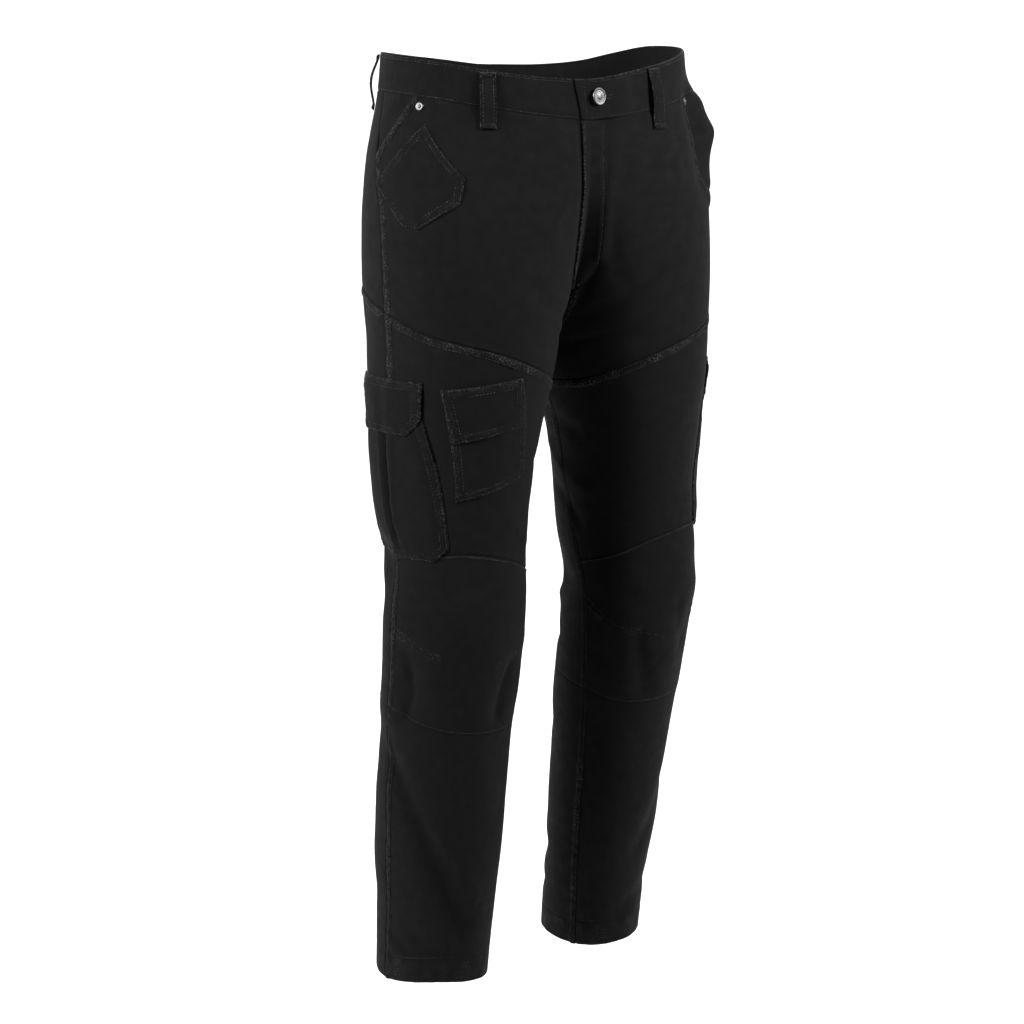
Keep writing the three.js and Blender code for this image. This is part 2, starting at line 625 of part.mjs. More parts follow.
function addThighPocket(leg) {
  const lines = [
    ...THIGH_ROWS.map((at) => (t, drop) => drop - at),
    ...THIGH_COLUMNS.map((at) => (t) => t - at),
  ];
  addPatch("thigh_pocket", leg, THIGH_POCKET, onPanel, thighBulge, lines);
  const overPocket = (t, drop) => REST_GAP + POCKET_CLOTH + FLAP_CLEAR + thighBulge(t, drop);
  addPatch("thigh_flap", leg, THIGH_FLAP, overPocket, flat, lines);
}

// A belt loop: sewn down at its head and foot, standing off the band between them.
function addBeltLoop({ name, legs, t: centre, standOff }) {
  const head = rimDrop(legs[0], centre) + LOOP_HEAD;
  const foot = levelDrop("band", centre) + LOOP_FOOT;
  const atShare = (share) => mix(head, foot, share);
  const faces = legs.flatMap((leg) => {
    const outline = [
      [centre - LOOP_HALF_WIDTH, head],
      [Math.min(centre + LOOP_HALF_WIDTH, CENTRE_BACK), head],
      [Math.min(centre + LOOP_HALF_WIDTH, CENTRE_BACK), foot],
      [centre - LOOP_HALF_WIDTH, foot],
    ];
    const lines = LOOP_ROWS.map((share) => (t, drop) => drop - atShare(share));
    return lines.reduce(splitFaces, outlineFaces(leg, outline));
  });
  const inner = (t, drop) => {
    const share = (drop - head) / (foot - head);
    const rise = smoothStep((share - LOOP_ARCH.from) / LOOP_ARCH.rise);
    const fall = smoothStep((LOOP_ARCH.to - share) / LOOP_ARCH.rise);
    return REST_GAP + standOff * rise * fall;
  };
  const outer = (t, drop) => inner(t, drop) + LOOP_CLOTH;
  const ownSide = legs.length === 1 ? legs[0] : 0;
  addMesh(name, wallGeometry(faces, { outer, inner, ownSide }));
}

// The flat face under a place: its point there, and its own way out.
function facePlace(leg, t, drop) {
  for (const face of gridFaces(GRIDS[leg])) {
    const [a, b, c] = face;
    const area = (b.t - a.t) * (c.drop - a.drop) - (c.t - a.t) * (b.drop - a.drop);
    const u = ((t - a.t) * (c.drop - a.drop) - (c.t - a.t) * (drop - a.drop)) / area;
    const v = ((b.t - a.t) * (drop - a.drop) - (t - a.t) * (b.drop - a.drop)) / area;
    if (u < 0 || v < 0 || u + v > 1) continue;
    const alongB = b.point.clone().sub(a.point);
    const alongC = c.point.clone().sub(a.point);
    const normal = alongB.clone().cross(alongC).normalize();
    if (normal.dot(a.normal) < 0) normal.negate();
    return { point: a.point.clone().addScaledVector(alongB, u).addScaledVector(alongC, v), normal };
  }
  throw new Error("no face of the leg holds this place");
}

// Round metal parts, turned about the way out of the cloth that they sit on.
function addTurned(name, profile, sides, place, lift) {
  const geometry = new THREE.LatheGeometry(profile.map(([r, h]) => new THREE.Vector2(r, h)), sides);
  const mesh = addMesh(name, geometry, METAL, 0.35, 1);
  mesh.quaternion.setFromUnitVectors(new THREE.Vector3(0, 1, 0), place.normal);
  mesh.position.copy(place.point).addScaledVector(place.normal, lift);
}

function addButton() {
  const place = clothPlace(LEFT, BUTTON.t, BUTTON.drop);
  addTurned("button", BUTTON_PROFILE, BUTTON.sides, place, BAND_OVERLAP_LIFT + REST_GAP);
}

function addRivet({ name, leg, t, drop }) {
  addTurned(name, RIVET_PROFILE, RIVET_SIDES, facePlace(leg, t, drop), RIVET_LIFT);
}

addWaistband();
addFlyPlacket();
addLeg(RIGHT);
addLeg(LEFT);
addCargoPocket(RIGHT);
addCargoPocket(LEFT);
addThighPocket(RIGHT);
addPatch("coin_pocket", RIGHT, COIN_POCKET, onPanel, flat);
BELT_LOOPS.forEach(addBeltLoop);
addButton();
RIVETS.forEach(addRivet);

export default garment;
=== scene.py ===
"""Motorcycle trousers in matte black twill: cloth, seams, stitching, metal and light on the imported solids.

Places on the cloth are (t, drop): t runs round a leg from the centre front or inseam at 0, through the side
seam at 0.5, to the centre back or inseam at 1, and drop is the distance in mm below the band's top edge at
the side. Heights above the cloth are in mm too. Meshes are written in metres.
"""

import itertools
import math

import bpy
import numpy as np
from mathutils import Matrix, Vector


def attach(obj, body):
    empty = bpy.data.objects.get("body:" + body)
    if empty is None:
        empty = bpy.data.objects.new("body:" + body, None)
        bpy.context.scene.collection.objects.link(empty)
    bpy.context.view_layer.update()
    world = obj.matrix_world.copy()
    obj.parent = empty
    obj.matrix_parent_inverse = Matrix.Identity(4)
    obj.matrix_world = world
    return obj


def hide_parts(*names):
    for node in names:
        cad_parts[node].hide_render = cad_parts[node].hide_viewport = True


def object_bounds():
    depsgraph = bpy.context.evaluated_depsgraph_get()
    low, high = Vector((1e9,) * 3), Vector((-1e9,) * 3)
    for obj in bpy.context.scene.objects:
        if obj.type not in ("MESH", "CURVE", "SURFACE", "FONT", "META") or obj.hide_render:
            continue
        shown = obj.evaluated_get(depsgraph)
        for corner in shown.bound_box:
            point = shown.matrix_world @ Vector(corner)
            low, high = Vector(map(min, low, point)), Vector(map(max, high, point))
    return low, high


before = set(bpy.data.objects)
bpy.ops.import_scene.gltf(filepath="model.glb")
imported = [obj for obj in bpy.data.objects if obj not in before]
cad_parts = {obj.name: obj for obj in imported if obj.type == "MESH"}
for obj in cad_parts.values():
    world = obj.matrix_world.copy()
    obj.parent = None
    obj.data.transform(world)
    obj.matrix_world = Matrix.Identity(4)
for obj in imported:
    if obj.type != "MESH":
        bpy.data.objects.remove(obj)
cad_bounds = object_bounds()

MM = 0.001
RIGHT, LEFT, BOTH = -1, 1, 0

# Driving dimensions of the cloth, in mm.
ORIGIN_DROP = 22
CROTCH_DROP = 320
GIRTH = 500
CLOTH = 2
POCKET_CLOTH = 1.4
LOOP_CLOTH = 2
BAND_CLOTH = 2.6
BAND_HEIGHT = 44
BAND_OVERLAP_LIFT = 3
BAND_UNDER = 0.036
BAND_OVER = 0.0115
BAND_SCALE = 480
FAR_AWAY = 60
OVERLAP_FADE_END = 0.082
OVERLAP_FADE = 0.04
HEM_CLOTH = 3.4
HEM_DEPTH = 33
REST_GAP = 0.3
SEAM_INSET = 0.03
MIDDLE_INSET = 0.004

# Mesh spacing in mm: in the open cloth, and close to seams and edges.
OPEN_PITCH = 4.2
SEAM_PITCH = 1.3
SEAM_REACH = 11
PATCH_PITCH = 3.4

# Sewing, in mm: rows of stitches, raised seams and bar tacks.
STITCH_PITCH = 3.7
STITCH_LENGTH = 2.7
THREAD_RADIUS = 0.26
THREAD_CLEAR = 0.12
EDGE_ROW = 3.4
TOP_ROW = 2.2
SECOND_ROW = 8.2
FELLED_WIDTH = 10.5
EDGE_REACH = 30
KNEE_LOW_SHARE = 0.45
ROW_WIDTH = 0.9
PUCKER_SIZE = 4.6
TACK_LENGTH = 9
TACK_HALF_WIDTH = 1.7
TACK_STITCHES = 15
FORK_REACH = 4
HIDDEN_INSEAM_LOW = 860

# Cross-sections of a leg, angles in degrees.
SECTION_COLUMNS = [
    "drop", "outward", "back", "outer", "fork_front", "fork_back",
    "front_depth", "back_depth", "power", "turn", "side_seam", "inseam",
]
SECTIONS = np.array([
    [-20, 14, 0, 176, 0.04, 0.03, 100, 100, 2.15, 0, 184, 0],
    [0, 14, 0, 177, 0.04, 0.03, 100, 100, 2.15, 0, 184, 0],
    [45, 20, -1, 175, 0.06, 0.05, 101, 103, 2.15, 0, 184, 0],
    [120, 50, -6, 160, 0.3, 0.2, 104, 112, 2.2, 0, 182, 0],
    [180, 80, -9, 133, 0.62, 0.42, 108, 120, 2.2, 0, 178, 0],
    [240, 98, -10, 115, 0.8, 0.66, 110, 122, 2.15, 0, 177, 0],
    [290, 104, -10, 108, 0.93, 0.88, 110, 116, 2.1, 0, 176, 0],
    [320, 107, -10, 104, 1.0, 1.0, 108, 110, 2.1, 0, 176, 0],
    [360, 111, -9, 100, 1.08, 1.08, 106, 103, 2.1, -5, 180, 2],
    [450, 119, -8, 84, 1.37, 1.37, 98, 94, 2.1, -12, 187, 8],
    [550, 122, -8, 74, 1.52, 1.52, 88, 84, 2.1, -9, 190, 14],
    [625, 124, -15, 78, 1.57, 1.57, 85, 82, 2.1, -6, 190, 20],
    [700, 123, -4, 76, 1.62, 1.62, 86, 80, 2.1, -8, 193, 28],
    [770, 121, 10, 73, 1.7, 1.7, 84, 84, 2.05, -10, 196, 35],
    [850, 120, 21, 69, 1.81, 1.81, 83, 85, 2.05, -13, 196, 39],
    [925, 119, 31, 66, 1.88, 1.88, 82, 84, 2.05, -15, 196, 41],
    [1000, 117, 42, 61, 1.96, 1.96, 78, 80, 2.05, -13, 196, 42],
    [1100, 116, 54, 57, 2.1, 2.1, 76, 78, 2.05, -10, 196, 42],
])

# Seam lines round a leg, as drops. The tilt is how far the rim lies lower on the right leg.
SEAM_COLUMNS = ["t", "rim", "thigh", "knee_top", "knee_low", "hem", "tilt"]
SEAMS = np.array([
    [0.0, 31, 374, 588, 748, 1088, 0],
    [0.1, 24, 365, 575, 760, 1085, 3],
    [0.2, 16, 343, 557, 761, 1082, 3.8],
    [0.3, 8, 318, 547, 757, 1081, 4.6],
    [0.4, 3, 301, 549, 748, 1087, 5],
    [0.5, 0, 279, 557, 738, 1094, 4.8],
    [0.6, -1, 261, 564, 735, 1096, 3],
    [0.7, 3, 257, 572, 734, 1095, 0],
    [0.8, 9, 280, 579, 734, 1092, -3],
    [0.9, 13, 328, 584, 738, 1090, -3],
    [1.0, 16, 374, 588, 748, 1088, 0],
])

# The solids' own large folds: leg, from t and drop, to t and drop, reach, height.
FOLDS = [
    (LEFT, 0.5, 105, 0.5, 118, 48, 10),
    (LEFT, 0.39, 66, 0.395, 92, 24, 15),
    (LEFT, 0.3, 62, 0.305, 130, 20, -5),
    (LEFT, 0.36, 535, 0.38, 560, 30, 4),
    (LEFT, 0.33, 665, 0.31, 700, 28, -5),
    (LEFT, 0.9, 600, 0.92, 615, 22, -4),
    (LEFT, 0.42, 830, 0.22, 960, 18, -3),
    (RIGHT, 0.55, 555, 0.53, 575, 26, -7),
    (RIGHT, 0.55, 780, 0.53, 800, 30, -5),
    (RIGHT, 0.1, 690, 0.1, 700, 22, -3),
    (RIGHT, 0.47, 809, 0.24, 1012, 17, -4.5),
    (BOTH, 0.435, 672, 0.435, 742, 14, -3.5),
    (BOTH, 0.145, 680, 0.165, 742, 14, -3.5),
    (RIGHT, 0.6, 612, 0.86, 625, 15, -4.5),
    (RIGHT, 0.64, 668, 0.9, 655, 16, -5),
    (LEFT, 0.62, 600, 0.84, 618, 16, -5),
    (LEFT, 0.6, 655, 0.82, 668, 15, -4),
    (RIGHT, 0.92, 345, 0.72, 318, 18, -4),
    (LEFT, 0.92, 352, 0.7, 312, 20, -4.5),
    (RIGHT, 0.62, 985, 0.86, 1008, 17, -3.5),
    (LEFT, 0.6, 1002, 0.84, 980, 16, -3.5),
]

# Finer creases, bowed between their ends: leg, from t and drop, to t and drop, bow, reach, height.
CREASES = [
    (RIGHT, 0.03, 296, 0.16, 262, 6, 9, -1.8),
    (RIGHT, 0.04, 322, 0.2, 312, -8, 8, -1.3),
    (LEFT, 0.05, 290, 0.17, 248, 8, 10, -2.2),
    (LEFT, 0.06, 330, 0.21, 318, -9, 9, -1.6),
    (LEFT, 0.07, 205, 0.12, 262, 7, 8, -1.4),
    (RIGHT, 0.05, 395, 0.13, 455, 10, 12, -1.8),
    (LEFT, 0.94, 455, 0.06, 500, 6, 10, 2.0),
    (LEFT, 0.93, 500, 0.02, 540, -6, 9, -2.2),
    (LEFT, 0.95, 395, 0.05, 432, 5, 11, -1.7),
    (RIGHT, 0.21, 517, 0.133, 556, 8, 9, 2.4),
    (RIGHT, 0.24, 575, 0.4, 590, 9, 14, -1.0),
    (RIGHT, 0.2, 612, 0.33, 604, -8, 12, 0.9),
    (LEFT, 0.18, 592, 0.36, 604, 9, 15, -1.1),
    (LEFT, 0.12, 628, 0.2, 634, 5, 10, -1.2),
    (LEFT, 0.17, 690, 0.3, 712, 9, 11, 1.6),
    (RIGHT, 0.38, 690, 0.3, 722, -8, 10, 1.0),
    (LEFT, 0.1, 770, 0.25, 812, 10, 16, -1.4),
    (RIGHT, 0.18, 778, 0.12, 860, 9, 15, -1.3),
    (RIGHT, 0.36, 880, 0.2, 968, 7, 10, 1.3),
    (LEFT, 0.36, 1010, 0.16, 1046, 7, 12, -1.6),
    (RIGHT, 0.4, 1020, 0.22, 1052, -6, 11, -1.4),
    (RIGHT, 0.66, 640, 0.88, 640, 6, 9, 2.4),
    (RIGHT, 0.63, 694, 0.84, 686, -8, 9, -2.0),
    (LEFT, 0.64, 634, 0.86, 642, 7, 9, 2.2),
    (LEFT, 0.62, 690, 0.86, 692, 7, 10, -2.3),
    (RIGHT, 0.9, 318, 0.76, 292, 7, 9, 2.0),
    (LEFT, 0.9, 322, 0.74, 286, 8, 10, 2.2),
    (RIGHT, 0.94, 372, 0.8, 352, 6, 10, -2.0),
    (LEFT, 0.94, 380, 0.78, 354, 7, 11, -2.2),
    (RIGHT, 0.95, 300, 0.86, 250, 6, 9, -1.7),
    (LEFT, 0.96, 296, 0.87, 240, -6, 9, -1.6),
    (RIGHT, 0.68, 80, 0.84, 96, 7, 12, -1.2),
    (LEFT, 0.66, 84, 0.86, 92, -7, 13, -1.4),
    (RIGHT, 0.62, 520, 0.76, 560, 8, 13, -1.8),
    (LEFT, 0.6, 510, 0.78, 548, 9, 14, -1.9),
    (RIGHT, 0.7, 760, 0.86, 800, 9, 14, -1.8),
    (LEFT, 0.66, 770, 0.84, 812, -9, 15, -1.6),
    (RIGHT, 0.62, 1030, 0.82, 1056, 6, 10, -1.9),
    (LEFT, 0.64, 1048, 0.84, 1030, -6, 11, -1.8),
    (RIGHT, 0.5, 1040, 0.4, 1068, 5, 10, 1.4),
    (LEFT, 0.5, 1046, 0.38, 1062, -5, 11, 1.3),
    (RIGHT, 0.436, 684, 0.434, 736, 7, 6, -2.6),
    (RIGHT, 0.142, 688, 0.166, 738, -7, 7, -2.6),
    (LEFT, 0.045, 95, 0.047, 225, 0, 6, 1.7),
    (LEFT, 0.043, 238, 0.03, 276, 3, 6, -2.6),
    (LEFT, 0.395, 104, 0.39, 152, 0, 20, 5.0),
    (LEFT, 0.25, 640, 0.3, 690, 8, 12, -2.0),
    (RIGHT, 0.16, 505, 0.13, 540, 6, 9, 1.8),
]

# Knee darts, each a stitched tuck along a line of (t, drop), on the legs named.
DARTS = [
    ((RIGHT, LEFT), [(0.497, 632), (0.474, 642), (0.417, 652), (0.357, 664)]),
    ((RIGHT, LEFT), [(0.003, 637), (0.068, 662), (0.13, 670), (0.198, 676)]),
]

# The hip pocket mouths, from the band to the side seam, as (drop, t). The left one gapes.
HIP_MOUTH = {
    RIGHT: np.array([[47, 0.37], [108, 0.5]]),
    LEFT: np.array([[47, 0.305], [80, 0.298], [120, 0.308], [150, 0.33], [172, 0.4], [188, 0.5]]),
}
FACING_TUCK = 0.028
FACING_CLEAR = 0.008
FACING_RISE = 0.05

# Patches on the cloth, as four sides of (t, drop) each: top and bottom run the same way, and so do the ends.
COIN_POCKET = {
    "top": [(0.499, 140), (0.335, 77)],
    "bottom": [(0.388, 188), (0.278, 160), (0.254, 134)],
    "start": [(0.499, 140), (0.431, 185), (0.388, 188)],
    "end": [(0.335, 77), (0.254, 134)],
}
THIGH_POCKET = {
    "top": [(0.386, 362), (0.3, 357), (0.238, 352)],
    "bottom": [(0.352, 487), (0.275, 476), (0.197, 461)],
    "start": [(0.386, 360), (0.352, 487)],
    "end": [(0.238, 352), (0.197, 461)],
}
THIGH_FLAP = {
    "top": [(0.386, 361), (0.24, 350)],
    "bottom": [(0.364, 420), (0.242, 405)],
    "start": [(0.386, 361), (0.364, 420)],
    "end": [(0.24, 350), (0.228, 401), (0.242, 405)],
}
CARGO_POCKET = {
    "top": [(0.432, 373), (0.598, 373)],
    "bottom": [(0.384, 556), (0.602, 556)],
    "start": [(0.432, 373), (0.352, 540), (0.384, 556)],
    "end": [(0.598, 373), (0.628, 540), (0.602, 556)],
}
CARGO_FLAP = {
    "top": [(0.419, 353), (0.603, 353)],
    "bottom": [(0.453, 413), (0.585, 414)],
    "start": [(0.419, 353), (0.424, 397), (0.453, 413)],
    "end": [(0.603, 353), (0.603, 404), (0.585, 414)],
}
CARGO_PLEAT = np.array([[410, 0.511], [450, 0.5095], [492, 0.504], [520, 0.491], [542, 0.475]])
PLEAT_MARK = 0.49
CARGO_FRONT = ((0.415, 405), (0.352, 540))
CARGO_BACK = ((0.604, 405), (0.628, 540))
CARGO_BULGE = 4
CARGO_EDGE = 0.034
CARGO_FOOT = 26
CARGO_LOW = 556
CARGO_MOUTH_SHARE = 0.35
CARGO_MOUTH_DROP = 380
CARGO_MOUTH_LENGTH = 60
FLAP_TOP = 353
FLAP_RISE = 15
FLAP_CLEAR = 0.4
CARGO_FLAP_EASE = 0.5
THIGH_FLAP_EASE = 0.4
THIGH_BULGE = 1.6
THIGH_FULL_FROM = 0.2
THIGH_FULL_OVER = 0.18
THIGH_FULL_TOP = 345
THIGH_FULL_LOW = 487
SEAM_SHARE = 0.85

# The fly: half widths in t on the wearer's right and left, by drop, and the curved row sewn down it.
FLY_TOP = 75.3
FLY_LOW = 264
FLY_RIGHT = np.array([[75, 0.0115], [236, 0.026], [250, 0.018], [258, 0.012], [264, 0.001]])
FLY_LEFT = np.array([[75, 0.026], [232, 0.048], [246, 0.04], [254, 0.03], [264, 0.001]])
FLY_ROW = [(0.021, 79), (0.025, 122), (0.04, 192), (0.043, 236)]

LOOP_HALF_WIDTH = 0.017
LOOP_ROW = 0.66
LOOP_HEAD = 2.5
LOOP_FOOT = 22
LOOPS = [
    ("belt_loop_front_R", RIGHT, 0.188, 3.5),
    ("belt_loop_front_L", LEFT, 0.142, 3.5),
    ("belt_loop_side_R", RIGHT, 0.6, 6.5),
    ("belt_loop_side_L", LEFT, 0.6, 5),
    ("belt_loop_back", BOTH, 1.0, 4.5),
]

BUTTON_PLACE = (LEFT, 0.0085, 50)
RIVET_PLACES = [("rivet_R", RIGHT, 0.352, 59), ("rivet_L", LEFT, 0.3, 57)]

# The view: degrees round to the wearer's right, degrees down, metres off, lens in mm, sideways shift.
VIEW_TURN = 34.0
VIEW_DOWN = 11.75
VIEW_DISTANCE = 2.55
VIEW_LENS = 78.1
VIEW_SHIFT = -0.0234


def suffix(leg):
    return "_R" if leg == RIGHT else "_L"


def smooth(x):
    x = np.clip(x, 0.0, 1.0)
    return x * x * (3 - 2 * x)


def bell(x, reach):
    return np.exp(-((x / reach) ** 2))


def mix(a, b, share):
    return a + (b - a) * share


def curve(rows, column, at):
    """A smooth curve through one column of a table whose first column rises."""
    x, y = rows[:, 0], rows[:, column]
    width = np.diff(x)
    slope = np.diff(y) / width
    inner = (slope[:-1] * width[1:] + slope[1:] * width[:-1]) / (width[1:] + width[:-1])
    tangent = np.concatenate(([slope[0]], inner, [slope[-1]]))
    i = np.clip(np.searchsorted(x, at) - 1, 0, len(x) - 2)
    u = (at - x[i]) / width[i]
    return (
        (2 * u**3 - 3 * u**2 + 1) * y[i]
        + (u**3 - 2 * u**2 + u) * width[i] * tangent[i]
        + (3 * u**2 - 2 * u**3) * y[i + 1]
        + (u**3 - u**2) * width[i] * tangent[i + 1]
    )


NOISE = np.random.default_rng(7).uniform(-1, 1, 8192)
NOISE_STEPS = (73, 1181, 3571)


def noise(size, *axes):
    """Smooth noise from -1 to 1 over one to three coordinates in mm, on a lattice of that size."""
    scaled = np.broadcast_arrays(*[np.asarray(a, float) / size for a in axes])
    cells = [np.floor(a).astype(int) for a in scaled]
    shares = [smooth(a - c) for a, c in zip(scaled, cells)]
    total = 0.0
    for corner in itertools.product((0, 1), repeat=len(scaled)):
        weight, index = 1.0, 0
        for step, cell, share, stride in zip(corner, cells, shares, NOISE_STEPS):
            weight = weight * (share if step else 1 - share)
            index = index + (cell + step) * stride
        total = total + weight * NOISE[index % len(NOISE)]
    return total


def seam_drop(name, t):
    return curve(SEAMS, SEAM_COLUMNS.index(name), np.asarray(t, float))


def rim_drop(leg, t):
    return seam_drop("rim", t) - leg * seam_drop("tilt", t)


def level_drop(name, t):
    if name == "band":
        return seam_drop("rim", t) + BAND_HEIGHT
    if name != "crotch":
        return seam_drop(name, t)
    shares = [
        (CROTCH_DROP - level_drop("band", end)) / (level_drop("thigh", end) - level_drop("band", end))
        for end in (0.0, 1.0)
    ]
    return mix(level_drop("band", t), level_drop("thigh", t), mix(shares[0], shares[1], t))


SECTION_DROPS = np.arange(SECTIONS[0, 0], SECTIONS[-1, 0] + 1.0)
SECTION_VALUES = {
    name: curve(SECTIONS, k, SECTION_DROPS) for k, name in enumerate(SECTION_COLUMNS)
}


def form(leg, t, drop):
    """Points of the smooth leg form: a rounded section, clipped at the middle above the crotch."""
    leg, t, drop = np.broadcast_arrays(np.asarray(leg, float), np.asarray(t, float), np.asarray(drop, float))
    t = np.where(drop > CROTCH_DROP, t % 1.0, np.clip(t, 0, 1))
    s = {name: np.interp(drop, SECTION_DROPS, values) for name, values in SECTION_VALUES.items()}
    front = t <= 0.5
    fork = np.where(front, s["fork_front"], s["fork_back"])
    power = s["power"]
    start = np.arccos(np.minimum(fork, 1) ** (power / 2))
    side, inseam = np.radians(s["side_seam"]), np.radians(s["inseam"])
    angle = np.where(
        front,
        mix(inseam + start, side, 2 * t),
        mix(side, 2 * math.pi + inseam - start, 2 * t - 1),
    )
    c, d = np.cos(angle), np.sin(angle)
    half_width = np.where(c > 0, s["outward"] / fork, s["outer"])
    half_depth = np.where(d > 0, s["front_depth"], s["back_depth"])
    dx = half_width * np.sign(c) * np.abs(c) ** (2 / power)
    dy = -half_depth * np.sign(d) * np.abs(d) ** (2 / power)
    turn = np.radians(s["turn"])
    x = -s["outward"] + dx * np.cos(turn) + dy * np.sin(turn)
    x = np.where(fork < 1, np.minimum(x, 0), x)
    y = s["back"] - dx * np.sin(turn) + dy * np.cos(turn)
    return np.stack([-leg * x, y, ORIGIN_DROP - drop], -1)


def outward(leg, t, drop):
    """The way out of the cloth."""
    step = 0.003
    below = np.asarray(drop) > CROTCH_DROP
    high = np.where(below, t + step, np.minimum(t + step, 1))
    low = np.where(below, t - step, np.maximum(t - step, 0))
    across = form(leg, high, drop) - form(leg, low, drop)
    down = form(leg, t, drop + 1.0) - form(leg, t, drop - 1.0)
    way = np.cross(across, down) * -np.asarray(leg, float)[..., None]
    return way / np.maximum(np.linalg.norm(way, axis=-1, keepdims=True), 1e-9)


def laid_folds(leg, t, drop):
    """The height of the large folds and the finer creases. Below the crotch they run across the inseam."""
    below = drop > CROTCH_DROP
    height = np.zeros(np.shape(drop))
    for fold in [(*row[:5], 0, *row[5:]) for row in FOLDS] + CREASES:
        on_leg, from_t, from_drop, to_t, to_drop, bow, reach, rise = fold
        along = np.array([(to_t - from_t) * GIRTH, to_drop - from_drop])
        if to_t - from_t < -0.5:
            along[0] += GIRTH
        length = np.hypot(*along)
        mine = (leg == on_leg) | (on_leg == BOTH)
        span = abs(to_drop - from_drop) / 2 + 3 * reach + bow
        reached = mine & (np.abs(drop - (from_drop + to_drop) / 2) < span)
        if not reached.any():
            continue
        nearest = np.full(np.count_nonzero(reached), 1e9)
        for turn in (0, -1, 1):
            x, y = (t[reached] + turn - from_t) * GIRTH, drop[reached] - from_drop
            share = np.clip((x * along[0] + y * along[1]) / length**2, 0, 1)
            aside = bow * 4 * share * (1 - share)
            x = x - share * along[0] + aside * along[1] / length
            y = y - share * along[1] - aside * along[0] / length
            distance = np.hypot(x, y)
            nearest = np.where(below[reached] | (turn == 0), np.minimum(nearest, distance), nearest)
        height[reached] += rise * bell(nearest, reach)
    return height


def ripple(point):
    """The cloth's soft unevenness, the same on every piece that lies on it."""
    x, y, z = point[..., 0], point[..., 1], point[..., 2]
    return 0.8 * noise(62, x, y, z) + 0.34 * noise(26, x, y, z) + 0.07 * noise(9, x, y, z)


def cloth(leg, t, drop, height=0.0, across=False):
    """Points at a height above the folded cloth. Pieces that cross the middle are square to it there."""
    leg, t, drop = np.broadcast_arrays(np.asarray(leg, float), np.asarray(t, float), np.asarray(drop, float))
    point, way = form(leg, t, drop), outward(leg, t, drop)
    lift = laid_folds(leg, t, drop) + ripple(point)
    if across:
        centre = smooth(1 - np.minimum(t, 1 - t) / 0.02)[..., None]
        y = way[..., 1]
        square = np.stack([0 * y, np.sign(y) / np.maximum(np.abs(y), 0.5), 0 * y], -1)
        lift = lift[..., None] * way
        return point + lift + mix(way, square, centre) * np.asarray(height)[..., None]
    return point + way * (lift + height)[..., None]


def seam_stretch(name, t):
    """How much longer a drop is than the distance square to a slanting seam."""
    step = 0.01
    return np.hypot(1, (level_drop(name, t + step) - level_drop(name, t - step)) / (2 * step * GIRTH))


def below_seam(name, t, drop):
    """How far a place lies below a seam line, square to it."""
    return (drop - level_drop(name, t)) / seam_stretch(name, t)


def pucker(along, aside, fine, coarse, coarse_size):
    """Cloth gathered by a seam, in small dents and longer ones."""
    return fine * noise(PUCKER_SIZE, along, aside * 0.6) + coarse * noise(coarse_size, along, aside * 0.3)


def stitch_rows(d):
    """Near 1 under the two rows of topstitching beside an edge, and 0 away from them."""
    return bell(d - TOP_ROW, ROW_WIDTH) + bell(d - SECOND_ROW, ROW_WIDTH)


def turned_edge(d, s):
    """The pressed edge of a panel, d mm inside its seam and s mm along it."""
    return -1.0 * bell(d, 1.2) + 0.4 * bell(d - 2, 6) * noise(6, s, d * 0.4)


def felled_edge(d, s):
    """The raised edge of a felled seam, dented by its two rows of stitches and puckered between them."""
    band = smooth((d + 0.2) / 0.9) * smooth((FELLED_WIDTH - d) / 2.2)
    groove = 0.5 * stitch_rows(d) + 1.5 * bell(d, 1.0)
    return band * (1.0 + pucker(s, d, 0.75, 0.45, 11)) - groove + 0.4 * bell(d - 11, 7) * noise(7, s)


